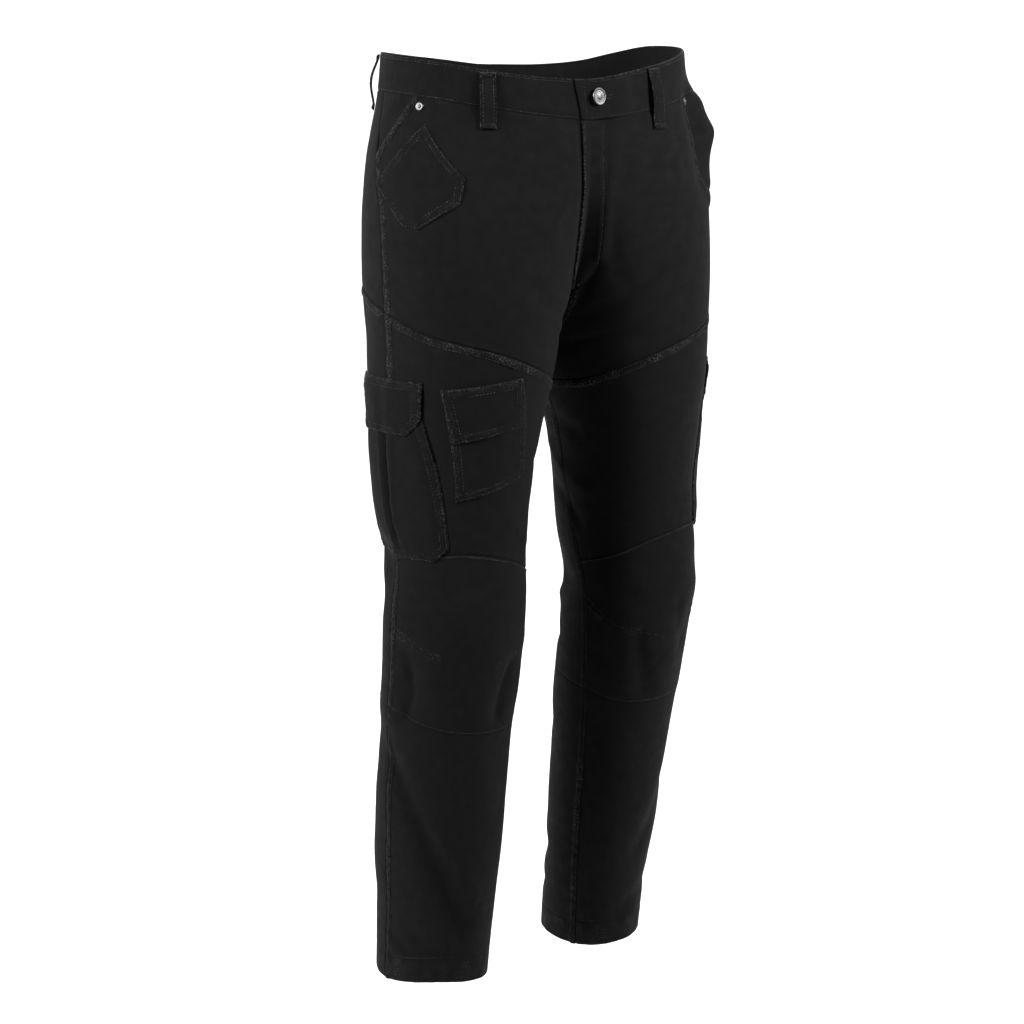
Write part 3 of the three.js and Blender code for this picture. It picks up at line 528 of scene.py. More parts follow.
def sewn(leg, t, drop):
    """The relief that sewing gives the body panels."""
    around, front = t * GIRTH, t < 0.5
    height = np.zeros(np.shape(drop))
    for name in ("band", "knee_low"):
        d = below_seam(name, t, drop)
        share = 1.0 if name == "band" else KNEE_LOW_SHARE
        height = height + np.where(np.abs(d) < EDGE_REACH, turned_edge(np.abs(d), around), 0) * share
    d = below_seam("thigh", t, drop)
    seam = np.where(d > 0, felled_edge(d, around), turned_edge(-d, around))
    height = height + np.where(np.abs(d) < EDGE_REACH, seam, 0)
    d = below_seam("knee_top", t, drop)
    step = np.where(d > 0, 0.5 * smooth(d / 0.8) * smooth((5 - d) / 2), 0)
    seam = turned_edge(np.abs(d), around + 90) + step
    height = height + np.where((np.abs(d) < EDGE_REACH) & front, seam, 0)
    d = (t - 0.5) * GIRTH
    seam = np.where(d < 0, felled_edge(-d, drop), turned_edge(d, drop))
    height = height + np.where(np.abs(d) < EDGE_REACH, seam, 0)
    below = drop > CROTCH_DROP
    inner = np.minimum(t, 1 - t) * GIRTH
    felled = np.where(below, t > 0.5, (leg == LEFT) & ((drop > FLY_LOW) | (t > 0.5)))
    seam = np.where(felled, felled_edge(inner, drop), turned_edge(inner, drop))
    hidden = np.where((leg == LEFT) & below, smooth((HIDDEN_INSEAM_LOW - drop) / 60), 0)
    height = height + np.where(inner < EDGE_REACH, seam, 0) * (1 - 0.7 * hidden)
    beside_fly = t * GIRTH - np.interp(drop, FLY_RIGHT[:, 0], FLY_RIGHT[:, 1]) * GIRTH
    groove = -1.3 * bell(beside_fly - 2.6, 2.4) * smooth((FLY_LOW + 20 - drop) / 30) * smooth((drop - 72) / 6)
    height = height + np.where((leg == RIGHT) & front, groove, 0)
    d = level_drop("hem", t) - drop
    roll = 0.5 * smooth((HEM_DEPTH + 1 - d) / 3) * noise(9, around, d * 0.25)
    hem = roll - 0.42 * bell(d - HEM_DEPTH, 1.0)
    hem = hem + 0.35 * smooth((HEM_DEPTH - d) / 3) - 1.1 * bell(d, 1.3)
    height = height + np.where(d < 60, hem, 0)
    for _, line in DARTS:
        d, s = line_distance(line, t, drop)
        tuck = -0.8 * bell(d, 1.2) + 0.75 * bell(d - 3.2, 2.2) * (1 + 0.5 * noise(5, s))
        tuck = tuck + 0.4 * bell(d, 8) * noise(6, s)
        height = height + np.where((d < EDGE_REACH) & front, tuck, 0)
    return height


def line_distance(line, t, drop):
    """The distance from a line of places, and how far along it the nearest point lies."""
    nearest, along = np.full(np.shape(drop), 1e9), np.zeros(np.shape(drop))
    travelled = 0.0
    for (t0, d0), (t1, d1) in zip(line, line[1:]):
        step = np.array([(t1 - t0) * GIRTH, d1 - d0])
        length = np.hypot(*step)
        x, y = (t - t0) * GIRTH, drop - d0
        share = np.clip((x * step[0] + y * step[1]) / max(length, 1e-9) ** 2, 0, 1)
        distance = np.hypot(x - share * step[0], y - share * step[1])
        along = np.where(distance < nearest, travelled + share * length, along)
        nearest = np.minimum(nearest, distance)
        travelled += length
    return nearest, along


def travel(points):
    """The distance along a line of points to each of them."""
    return np.concatenate(([0], np.cumsum(np.linalg.norm(np.diff(points, axis=0), axis=-1))))


def stations(length, pitch=OPEN_PITCH, fine=SEAM_PITCH, reach=SEAM_REACH, marks=()):
    """Shares from 0 to 1 along a length in mm, close together at both ends and at the marks."""
    x = np.linspace(0, length, 3000)
    edge = np.minimum(x, length - x)
    for mark in marks:
        edge = np.minimum(edge, np.abs(x - mark * length))
    step = mix(fine, pitch, smooth((edge - reach) / reach))
    count = np.concatenate(([0], np.cumsum(np.diff(x) / step[1:])))
    return np.interp(np.linspace(0, count[-1], math.ceil(count[-1]) + 1), count, x) / length


def add_object(name, points, faces, material, uv=None, wear_and_shade=None, sharp=50):
    """A smooth-shaded mesh in metres from points in mm, riding on the one body."""
    mesh = bpy.data.meshes.new(name)
    mesh.from_pydata((points * MM).tolist(), [], [list(f) for f in faces])
    mesh.materials.append(material)
    mesh.polygons.foreach_set("use_smooth", np.ones(len(mesh.polygons), bool))
    if uv is not None:
        index = np.zeros(len(mesh.loops), np.int32)
        mesh.loops.foreach_get("vertex_index", index)
        mesh.uv_layers.new(name="cloth").data.foreach_set("uv", (uv[index] * MM).astype(np.float32).ravel())
    if wear_and_shade is not None:
        mesh.attributes.new("wear_and_shade", "FLOAT", "POINT").data.foreach_set("value", wear_and_shade.astype(np.float32))
    mesh.update()
    mesh.set_sharp_from_angle(angle=math.radians(sharp))
    piece = bpy.data.objects.new(name, mesh)
    bpy.context.scene.collection.objects.link(piece)
    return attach(piece, "root")


def grid_quads(rows, columns):
    r, c = np.meshgrid(np.arange(rows - 1), np.arange(columns - 1), indexing="ij")
    a = (r * columns + c).ravel()
    return np.stack([a, a + columns, a + columns + 1, a + 1], -1)


def add_shell(node, outer, inner, uv, wear_and_shade):
    """A closed sheet of cloth from two grids of points, standing for the CAD node of that name."""
    rows, columns = outer.shape[:2]
    count = rows * columns
    top = grid_quads(rows, columns)
    low = top[:, ::-1] + count
    index = np.arange(count).reshape(rows, columns)
    loop = np.concatenate([index[0, :-1], index[:-1, -1], index[-1, :0:-1], index[:0:-1, 0]])
    after = np.roll(loop, -1)
    rim = np.stack([loop, after, after + count, loop + count], -1)
    points = np.concatenate([outer.reshape(-1, 3), inner.reshape(-1, 3)])
    faces = np.concatenate([top, low, rim])
    a, b, c, d = (points[faces[:, k]] for k in range(4))
    if (np.einsum("ij,ij->i", a, np.cross(b, c)) + np.einsum("ij,ij->i", a, np.cross(c, d))).sum() < 0:
        faces = faces[:, ::-1]
    both = lambda values: np.concatenate([values.reshape(count, -1), values.reshape(count, -1)])
    piece = add_object(f"cloth_{node}", points, faces, TWILL, both(uv), both(wear_and_shade).ravel())
    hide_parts(node)
    return piece


def shade_points(leg, t, drop):
    """Each point's place on the cloth in mm, for the weave."""
    leg, t, drop = np.broadcast_arrays(leg, t, drop)
    return np.stack([t * GIRTH + (leg > 0) * 700, drop], -1)


def wear_and_hollow_shade(leg, t, drop, height):
    """How far the raised edges are rubbed paler. Below 0 is painted shade: the cloth is coloured darker along
    the fold hollows.
    """
    patchy = 0.5 + 0.5 * noise(5, t * GIRTH, drop) * noise(23, drop, t * GIRTH)
    # Painted shade: folds deeper than 1 mm get a darker colour in their hollows.
    painted_shade_depth = np.clip(-laid_folds(leg + 0 * t, t, drop) - 1.0, 0, 4)
    return np.clip(height, 0, 1.2) * patchy - 0.13 * painted_shade_depth


def mouth_slope(leg):
    (drop_above, t_above), (drop_low, t_low) = HIP_MOUTH[leg][-2:]
    return (t_low - t_above) / (drop_low - drop_above)


def mouth_t(leg, drop):
    """Where a hip pocket mouth lies at a drop. Its last stretch runs on past the side seam."""
    rows = HIP_MOUTH[leg]
    return np.interp(drop, rows[:, 0], rows[:, 1]) + np.maximum(drop - rows[-1, 0], 0) * mouth_slope(leg)


def mouth_line(leg):
    return [(t, drop) for drop, t in HIP_MOUTH[leg]]


def body_inner(t, drop):
    hemmed = smooth((drop - (level_drop("hem", t) - HEM_DEPTH)) / 2)
    return -mix(CLOTH, HEM_CLOTH, hemmed)


def keep_side(leg, points):
    """Keeps a leg's points on its own side of the middle."""
    points[..., 0] = leg * np.maximum(leg * points[..., 0], MIDDLE_INSET)
    return points


def close_fork(leg, t, drop, points):
    """Holds the edges that meet their twins on the other leg to the middle, whatever relief they carry."""
    near = (1 - smooth(np.minimum(t, 1 - t) * GIRTH / FORK_REACH)) * (drop < CROTCH_DROP + 0.5)
    points[..., 0] = mix(points[..., 0], form(leg, t, drop)[..., 0], near)
    return points


CROTCH_SHARE = 0.82
PANELS = [
    ("front_upper", "band", "thigh", 0.0, 0.5, 300),
    ("back_upper", "band", "thigh", 0.5, 1.0, 260),
    ("thigh_front", "thigh", "knee_top", 0.0, 0.5, 235),
    ("knee", "knee_top", "knee_low", 0.0, 0.5, 195),
    ("shin_front", "knee_low", "hem", 0.0, 0.5, 345),
    ("thigh_back", "thigh", "knee_low", 0.5, 1.0, 450),
    ("calf_back", "knee_low", "hem", 0.5, 1.0, 360),
]


def panel_drop(top, bottom, share, t):
    """The drop at a share of the way down a panel. Upper panels keep one row at the crotch."""
    if bottom != "thigh":
        return mix(level_drop(top, t), level_drop(bottom, t), share)
    upper = mix(level_drop(top, t), level_drop("crotch", t), np.minimum(share / CROTCH_SHARE, 1))
    lower = mix(level_drop("crotch", t), level_drop("thigh", t), (share - CROTCH_SHARE) / (1 - CROTCH_SHARE))
    return np.where(share <= CROTCH_SHARE, upper, lower)


def add_panel(name, top, bottom, from_t, to_t, length, leg):
    marks = (CROTCH_SHARE,) if bottom == "thigh" else ()
    share = stations(length, marks=marks)[:, None]
    if marks:
        share[np.argmin(np.abs(share - marks[0]))] = marks[0]
    across = stations(GIRTH / 2)[None, :]
    edge = np.full(share.shape, to_t)
    if name == "front_upper":
        for _ in range(40):
            edge = mix(edge, np.clip(mouth_t(leg, panel_drop(top, bottom, share, edge)), 0.29, 0.5), 0.5)
    inset = SEAM_INSET / GIRTH
    t = mix(from_t + inset, edge - inset, across)
    drop = panel_drop(top, bottom, share, t) + SEAM_INSET * (1 - 2 * share)
    height = sewn(leg, t, drop)
    if name == "front_upper":
        d, along_mouth = line_distance(mouth_line(leg), t, drop)
        lowest = HIP_MOUTH[leg][-1, 0]
        mouth = felled_edge(d, along_mouth) * smooth((lowest + 8 - drop) / 10)
        height = np.where(d < EDGE_REACH, height * smooth((drop - lowest + 6) / 12) + mouth, height)
    outer = keep_side(leg, close_fork(leg, t, drop, cloth(leg, t, drop, height)))
    inner = keep_side(leg, cloth(leg, t, drop, body_inner(t, drop)))
    wear_and_shade = wear_and_hollow_shade(leg, t, drop, height)
    add_shell(name + suffix(leg), outer, inner, shade_points(leg, t, drop), wear_and_shade)


def add_facing(leg):
    rows = HIP_MOUTH[leg]
    share = stations(rows[-1, 0] - rows[0, 0])[:, None]
    across = stations((0.5 - rows[0, 1]) * GIRTH, pitch=3)[None, :]
    lowest = rows[-1, 0] + (FACING_TUCK - 0.004) / mouth_slope(leg)
    t = np.full((len(share), across.shape[1]), 0.45)
    for _ in range(30):
        drop = mix(level_drop("band", t) + SEAM_INSET, lowest, share)
        t = mix(np.minimum(mouth_t(leg, drop) - FACING_TUCK, 0.499), 0.5 - SEAM_INSET / GIRTH, across)
    rise = smooth((t - mouth_t(leg, drop) - FACING_CLEAR) / FACING_RISE)
    sunk = -(CLOTH + REST_GAP) * (1 - rise)
    d = (0.5 - t) * GIRTH
    height = sunk + rise * (turned_edge(d, drop) + turned_edge(below_seam("band", t, drop), t * GIRTH))
    outer = keep_side(leg, cloth(leg, t, drop, height))
    inner = keep_side(leg, cloth(leg, t, drop, sunk - POCKET_CLOTH))
    wear_and_shade = 0.2 * wear_and_hollow_shade(leg, t, drop, 1 + 0 * height)
    add_shell("pocket_facing" + suffix(leg), outer, inner, shade_points(leg, t, drop), wear_and_shade)


def from_middle(leg, t):
    """t, counted below 0 on the wearer's right."""
    return np.where(leg == LEFT, t, -t)


def overlap_lift(signed):
    """How far the band's upper end stands over the lower one, by its place from the centre front."""
    return BAND_OVERLAP_LIFT * smooth((OVERLAP_FADE_END - signed) / OVERLAP_FADE)


def band_path():
    """The places along the waistband strip, from its end under the overlap to its end over it."""
    step = 1 / 116
    under = np.arange(BAND_UNDER, 0, -0.006)
    half = np.arange(0, 1, step)
    back = np.arange(1, 0, -step)
    over = np.linspace(0, BAND_OVER, 6)
    leg = np.concatenate([0 * under + LEFT, 0 * half + RIGHT, 0 * back + LEFT, 0 * over + RIGHT])
    t = np.concatenate([under, half, back, over])
    last = np.arange(len(t)) >= len(under) + len(half)
    signed = from_middle(leg, t)
    lift = np.where(last, overlap_lift(signed), 0)
    return leg, t, lift, last


def band_height(around, d, end):
    """The band's relief, d mm below its top edge and end mm from the overlap's own end."""
    low = BAND_HEIGHT - d
    height = -1.1 * bell(d, 1.4) - 0.8 * bell(low, 1.1)
    height = height - 0.35 * (bell(d - EDGE_ROW, 1.0) + bell(low - TOP_ROW, 1.0))
    height = height + 0.35 * (bell(d, 7) * noise(6, around, 5) + bell(low, 7) * noise(6, around, 90))
    height = height + 0.5 * noise(34, around, d) * smooth(d / 10) * smooth(low / 10)
    return height - 0.9 * bell(end, 1.3) - 0.3 * bell(end - 3, 1)


def add_waistband():
    leg, t, lift, last = band_path()
    share = stations(BAND_HEIGHT, pitch=2.6, fine=1.2, reach=5)[:, None]
    leg, t, lift = leg[None, :], t[None, :], lift[None, :]
    drop = mix(rim_drop(leg, t), level_drop("band", t) - SEAM_INSET, share)
    signed = from_middle(leg, t)
    end = np.where(last[None, :], (signed + BAND_OVER) * BAND_SCALE, FAR_AWAY)
    height = band_height(t * GIRTH * leg, BAND_HEIGHT * share, end)
    outer = cloth(leg, t, drop, lift + height, across=True)
    inner = cloth(leg, t, drop, lift - BAND_CLOTH + 0.2 * noise(20, t * GIRTH * leg, drop), across=True)
    edge = bell(BAND_HEIGHT * share, 2.2) + 0.3 * bell(BAND_HEIGHT * (1 - share), 3)
    wear_and_shade = edge * (0.55 + 0.45 * noise(7, t * GIRTH * leg))
    places = shade_points(leg, t, drop)[..., ::-1]
    add_shell("waistband", outer, inner, places, wear_and_shade)


def add_fly():
    share = stations(FLY_LOW - FLY_TOP, pitch=3, fine=1.3, reach=6)[:, None]
    across = stations(32, pitch=2, fine=1.0, reach=4)[None, :]
    drop = mix(FLY_TOP, FLY_LOW - 0.6, share) + 0 * across
    right, left = (np.interp(drop, side[:, 0], side[:, 1]) for side in (FLY_RIGHT, FLY_LEFT))
    signed = mix(-right, left, across)
    leg, t = np.where(signed < 0, RIGHT, LEFT), np.abs(signed)
    edge_right, edge_left = (signed + right) * GIRTH, (left - signed) * GIRTH
    foot = FLY_LOW - drop
    height = REST_GAP + POCKET_CLOTH * (0.5 + 0.5 * smooth(np.minimum(edge_right, foot) / 1.4))
    height = height - 0.9 * smooth(1 - edge_left / 6)
    row, along = line_distance(FLY_ROW, np.where(signed > 0, t, 0), drop)
    height = height - 0.45 * bell(row, 1.1) + 0.35 * bell(row - 3, 2.4)
    height = height + 0.25 * noise(8, along) * bell(row, 6)
    height = height + 0.7 * bell(edge_right - 2, 3) * (0.7 + 0.3 * noise(14, drop))
    height = height + 0.3 * noise(16, drop, signed * GIRTH)
    outer = cloth(leg, t, drop, height, across=True)
    inner = cloth(leg, t, drop, REST_GAP - 0.25 + 0 * height, across=True)
    wear_and_shade = 0.8 * bell(edge_right, 1.6) + 0.3 * bell(row, 3) * (0.6 + 0.4 * noise(6, drop))
    add_shell("fly_placket", outer, inner, shade_points(leg, t, drop), wear_and_shade)


def trace(line, rounding=7):
    """A line of places with its inner corners rounded, as points evenly spaced in mm."""
    corners = np.array(line, float)
    points = [corners[0]]
    for before, corner, after in zip(corners, corners[1:], corners[2:]):
        lead, follow = (np.hypot((p[0] - corner[0]) * GIRTH, p[1] - corner[1]) for p in (before, after))
        start = mix(corner, before, min(rounding / lead, 0.45))
        end = mix(corner, after, min(rounding / follow, 0.45))
        points += [mix(mix(start, corner, u), mix(corner, end, u), u) for u in (0, 0.25, 0.5, 0.75, 1)]
    points = np.array([*points, corners[-1]])
    travelled = travel(points * (GIRTH, 1))
    even = np.linspace(0, travelled[-1], 241)
    return np.stack([np.interp(even, travelled, points[:, k]) for k in (0, 1)], -1)


def side_point(side, share):
    at = np.asarray(share) * (len(side) - 1)
    return np.stack([np.interp(at, np.arange(len(side)), side[:, k]) for k in (0, 1)], -1)


def edge_distance(lines, t, drop):
    return np.minimum.reduce([line_distance(line[::8], t, drop)[0] for line in lines])


def patch_grid(sides, marks=()):
    """Places all over a four-sided patch, and each one's distance from the edge and place along it."""
    top, bottom, start, end = (trace(sides[k]) for k in ("top", "bottom", "start", "end"))
    sizes = [travel(line * (GIRTH, 1))[-1] for line in (top, bottom, start, end)]
    u = stations(max(sizes[:2]), pitch=PATCH_PITCH, marks=marks)[None, :, None]
    v = stations(max(sizes[2:]), pitch=PATCH_PITCH)[:, None, None]
    flat_u, flat_v = u[0, :, 0], v[:, 0, 0]
    places = mix(side_point(top, flat_u)[None], side_point(bottom, flat_u)[None], v)
    places = places + mix(side_point(start, flat_v)[:, None], side_point(end, flat_v)[:, None], u)
    corner = mix(mix(top[0], top[-1], u), mix(bottom[0], bottom[-1], u), v)
    places = places - corner
    t, drop = places[..., 0], places[..., 1]
    distance, along = np.full(t.shape, 1e9), np.zeros(t.shape)
    for k, line in enumerate((top, bottom, start, end)):
        gap = np.hypot((t[..., None] - line[::4, 0]) * GIRTH, drop[..., None] - line[::4, 1])
        near = gap.min(-1)
        along = np.where(near < distance, gap.argmin(-1) * 3.0 + 400 * k, along)
        distance = np.minimum(distance, near)
    return t, drop, edge_distance((top, bottom, start, end), t, drop), along


def over_seams(leg, t, drop):
    """The gap under a patch that lies over the panels' own raised seams."""
    return REST_GAP + np.maximum(sewn(leg, t, drop), 0) * SEAM_SHARE


def beside_pleat(t, drop):
    return (t - np.interp(drop, CARGO_PLEAT[:, 0], CARGO_PLEAT[:, 1])) * GIRTH


def pleat_gap(t, drop):
    """How far the pleat stands open, widest in its middle."""
    fade = smooth((drop - CARGO_MOUTH_DROP) / 30) * smooth((CARGO_LOW - 4 - drop) / 30)
    return fade * bell(beside_pleat(t, drop) + 1.2, 2.1) * (0.6 + 0.4 * bell(drop - 495, 50))


def cargo_swell(t, drop, sharp=True):
    """The cargo pocket's fullness, with its pleat as a groove."""
    line_t = lambda line: mix(line[0][0], line[1][0], (drop - line[0][1]) / (line[1][1] - line[0][1]))
    rise = smooth(np.minimum(t - line_t(CARGO_FRONT), line_t(CARGO_BACK) - t) / CARGO_EDGE)
    foot = smooth((CARGO_LOW - drop) / CARGO_FOOT)
    mouth = mix(CARGO_MOUTH_SHARE, 1, smooth((drop - CARGO_MOUTH_DROP) / CARGO_MOUTH_LENGTH))
    aside = beside_pleat(t, drop)
    groove = 0.62 * bell(aside, 5)
    if sharp:
        lips = 0.3 * bell(aside - 5.5, 3.2) + 0.1 * bell(aside + 9, 4)
        groove = np.minimum(groove + 0.75 * pleat_gap(t, drop) - lips, 1.02)
    return CARGO_BULGE * rise * foot * mouth * (1 - groove)


def thigh_swell(t, drop):
    middle = np.sin(math.pi * np.clip((t - THIGH_FULL_FROM) / THIGH_FULL_OVER, 0, 1))
    return THIGH_BULGE * middle * smooth((THIGH_FULL_LOW - drop) / 40) * smooth((drop - THIGH_FULL_TOP) / 30)


def coin_base(leg, t, drop):
    return over_seams(leg, t, drop)


def thigh_base(leg, t, drop):
    return over_seams(leg, t, drop) + thigh_swell(t, drop)


def cargo_base(leg, t, drop):
    return over_seams(leg, t, drop) + cargo_swell(t, drop)


def thigh_flap_base(leg, t, drop):
    return over_seams(leg, t, drop) + thigh_swell(t, drop) + POCKET_CLOTH + FLAP_CLEAR + THIGH_FLAP_EASE


def cargo_flap_base(leg, t, drop):
    over = smooth((drop - FLAP_TOP) / FLAP_RISE)
    lift = POCKET_CLOTH + FLAP_CLEAR + CARGO_FLAP_EASE + cargo_swell(t, drop, sharp=False)
    return over_seams(leg, t, drop) + over * lift


def patch_height(leg, t, drop, distance, along, base):
    """A patch's outer face: turned edges, doubled hems between the two rows, and a slack middle."""
    hem = smooth((FELLED_WIDTH - distance) / 2.5)
    cloth_height = POCKET_CLOTH * (0.45 + 0.55 * smooth(distance / 1.2))
    relief = hem * (0.45 + pucker(along, distance, 0.6, 0.35, 10)) - 0.4 * stitch_rows(distance)
    relief = relief + 0.3 * noise(17, t * GIRTH, drop) * smooth((distance - 6) / 8)
    return base(leg, t, drop) + cloth_height + relief * smooth((distance + 0.4) / 1.2)


def add_patch(node, leg, sides, base, marks=()):
    t, drop, distance, along = patch_grid(sides, marks=marks)
    height = patch_height(leg, t, drop, distance, along, base)
    outer = keep_side(leg, cloth(leg, t, drop, height))
    inner = keep_side(leg, cloth(leg, t, drop, base(leg, t, drop) - 0.2))
    edge = bell(distance, 1.6) + 0.35 * bell(distance - 5, 4)
    wear_and_shade = edge * (0.6 + 0.4 * noise(6, along))
    if base is cargo_base:
        # Painted shade: the pocket is coloured darker inside its pleat's gap.
        wear_and_shade = wear_and_shade - 1.6 * pleat_gap(t, drop)
    add_shell(node, outer, inner, shade_points(leg, t, drop), wear_and_shade)


def loop_place(leg, centre, w):
    """A place w mm aside from a loop's middle line. The loop at the back lies on both legs."""
    signed = w / GIRTH
    if leg != BOTH:
        return np.full(np.shape(w), leg), centre + signed
    return np.where(w < 0, RIGHT, LEFT), 1 - np.abs(signed)


def loop_ends(leg, centre):
    return float(rim_drop(leg, centre)) + LOOP_HEAD, float(level_drop("band", centre)) + LOOP_FOOT


def loop_height(share, aside, stand_off):
    arch = np.sin(math.pi * np.clip((share - 0.05) / 0.87, 0, 1)) ** 1.3
    return REST_GAP + 0.4 + stand_off * arch, LOOP_CLOTH * (1 - 0.5 * smooth((aside - 0.75) / 0.25))


def loop_tabs(share):
    """The turned ends of a loop, where it is bar tacked."""
    return 0.9 * (smooth((0.1 - share) / 0.03) + smooth((share - 0.9) / 0.03))


def add_loop(node, leg, centre, stand_off):
    head, foot = loop_ends(leg, centre)
    share = stations(foot - head, pitch=2.4, fine=1.0, reach=5)[:, None]
    w = mix(-1, 1, stations(2 * LOOP_HALF_WIDTH * GIRTH, pitch=1.4, fine=0.7, reach=2))[None, :]
    legs, t = loop_place(leg, centre, w * LOOP_HALF_WIDTH * GIRTH)
    drop = mix(head, foot, share) + 0 * w
    legs, t = legs + 0 * drop, t + 0 * drop
    gap, thick = loop_height(share, np.abs(w), stand_off)
    ends = loop_tabs(share)
    rows = -0.3 * bell((np.abs(w) - LOOP_ROW) * LOOP_HALF_WIDTH * GIRTH, 0.8)
    crown = 0.35 * (1 - w**2) + 0.2 * noise(7, drop, w * 8)
    tips = smooth(share * (foot - head) / 1.6) * smooth((1 - share) * (foot - head) / 1.6)
    height = gap + thick * (0.5 + 0.5 * tips) + (ends + rows + crown) * tips
    outer = cloth(legs, t, drop, height, across=leg == BOTH)
    inner = cloth(legs, t, drop, gap + 0 * w, across=leg == BOTH)
    wear_and_shade = 0.7 * smooth((np.abs(w) - 0.8) / 0.2) + 0.4 * (ends > 0.3) + 0 * drop
    places = np.stack([w * 8 + 0 * drop, drop], -1)
    add_shell(node, outer, inner, places, wear_and_shade)


def stitch_meshes(name, runs):
    """Many stitches as one joined mesh. Each run is centres, half ways along, and ways out, in mm."""
    centre, along, out = (np.concatenate([run[k] for run in runs]) for k in range(3))
    aside = np.cross(along, out)
    aside = aside / np.maximum(np.linalg.norm(aside, axis=-1, keepdims=True), 1e-9)
    ring_at = ((-1.0, 0.4, -0.3), (-0.5, 1.0, 0.12), (0.5, 1.0, 0.12), (1.0, 0.4, -0.3))
    rings = []
    for place, size, rise in ring_at:
        middle = centre + along * place + out * rise
        for angle in (0, 0.5, 1, 1.5):
            x, y = math.cos(angle * math.pi), math.sin(angle * math.pi)
            rings.append(middle + (aside * x + out * y) * THREAD_RADIUS * size)
    points = np.stack(rings, 1).reshape(-1, 3)
    sides = [
        (4 * ring + k, 4 * ring + (k + 1) % 4, 4 * ring + 4 + (k + 1) % 4, 4 * ring + 4 + k)
        for ring in range(3)
        for k in range(4)
    ]
    one = np.array([*sides, (3, 2, 1, 0), (12, 13, 14, 15)])
    faces = (one[None] + 16 * np.arange(len(centre))[:, None, None]).reshape(-1, 4)
    piece = add_object(name, points, faces[:, ::-1], THREAD, sharp=180)


def sew(leg, line, height, pitch=STITCH_PITCH, length=STITCH_LENGTH, across=False):
    """A run of stitches along a line of places, lying at a height on the cloth."""
    points = np.array(line, float)
    dense = np.linspace(0, len(points) - 1, 40 * len(points))
    t, drop = (np.interp(dense, np.arange(len(points)), points[:, k]) for k in (0, 1))
    legs = np.full(t.shape, leg, float)
    place = form(legs, t, drop)
    travelled = travel(place)
    count = int((travelled[-1] - length) // pitch)
    if count < 1:
        return []
    middles = (travelled[-1] - (count - 1) * pitch) / 2 + pitch * np.arange(count)
    middles = middles + 0.25 * noise(1.0, middles + 13 * points[0, 1])
    ends = [np.interp(middles + k * length / 2, travelled, dense) for k in (-1, 0, 1)]
    spots = []
    for at in ends:
        spot_t, spot_drop = (np.interp(at, dense, values) for values in (t, drop))
        legs = np.full(spot_t.shape, leg, float)
        if across:
            legs, spot_t = np.where(spot_t < 0, -leg, leg).astype(float), np.abs(spot_t)
        lift = height(legs, spot_t, spot_drop)
        spots.append((cloth(legs, spot_t, spot_drop, lift, across=across), legs, spot_t, spot_drop))
    low, middle, high = (spot[0] for spot in spots)
    centre = mix(middle, (low + high) / 2, 0.5)
    return [(centre, (high - low) / 2, outward(*spots[1][1:]))]


def bar_tack(leg, t, drop, toward, height, length=TACK_LENGTH, across=False):
    """A short dense row of stitches that closes a seam's end. toward is its way over the cloth, in mm."""
    way = np.array(toward, float) / np.hypot(*toward)
    runs = []
    for at in np.linspace(-length / 2, length / 2, TACK_STITCHES):
        x, y = way * at
        over = np.array([-way[1], way[0]]) * TACK_HALF_WIDTH
        line = [
            (t + (x - over[0]) / GIRTH, drop + y - over[1]),
            (t + (x + over[0]) / GIRTH, drop + y + over[1]),
        ]
        runs += sew(leg, line, height, pitch=1.5, length=2.2, across=across)
    return runs


def on_panel(leg, t, drop):
    return sewn(leg, t, drop) + THREAD_CLEAR


def seam_line(name, offset, from_t, to_t):
    t = np.linspace(from_t, to_t, 60)
    return np.stack([t, level_drop(name, t) + offset * seam_stretch(name, t)], -1)


def offset_side(sides, key, offset, trim):
    """A line inside one side of a patch, trimmed at both ends."""
    line = trace(sides[key]) * (GIRTH, 1)
    middle = np.mean([trace(sides[k]).mean(0) for k in sides], axis=0) * (GIRTH, 1)
    along = np.gradient(line, axis=0)
    along = along / np.linalg.norm(along, axis=-1, keepdims=True)
    inward = np.stack([-along[:, 1], along[:, 0]], -1)
    if ((middle - line) * inward).sum() < 0:
        inward = -inward
    moved = line + inward * offset
    travelled = travel(line)
    keep = (travelled >= trim) & (travelled <= travelled[-1] - trim)
    return (moved[keep] / (GIRTH, 1))[::6]


def sew_patch(leg, sides, base, keys):
    def height(legs, t, drop):
        distance = edge_distance([trace(sides[k]) for k in ("top", "bottom", "start", "end")], t, drop)
        return patch_height(leg, t, drop, distance, t * GIRTH + drop, base) + 0.1

    runs = []
    for key in keys:
        for row in (TOP_ROW, SECOND_ROW):
            runs += sew(leg, offset_side(sides, key, row, row), height)
    return runs, height


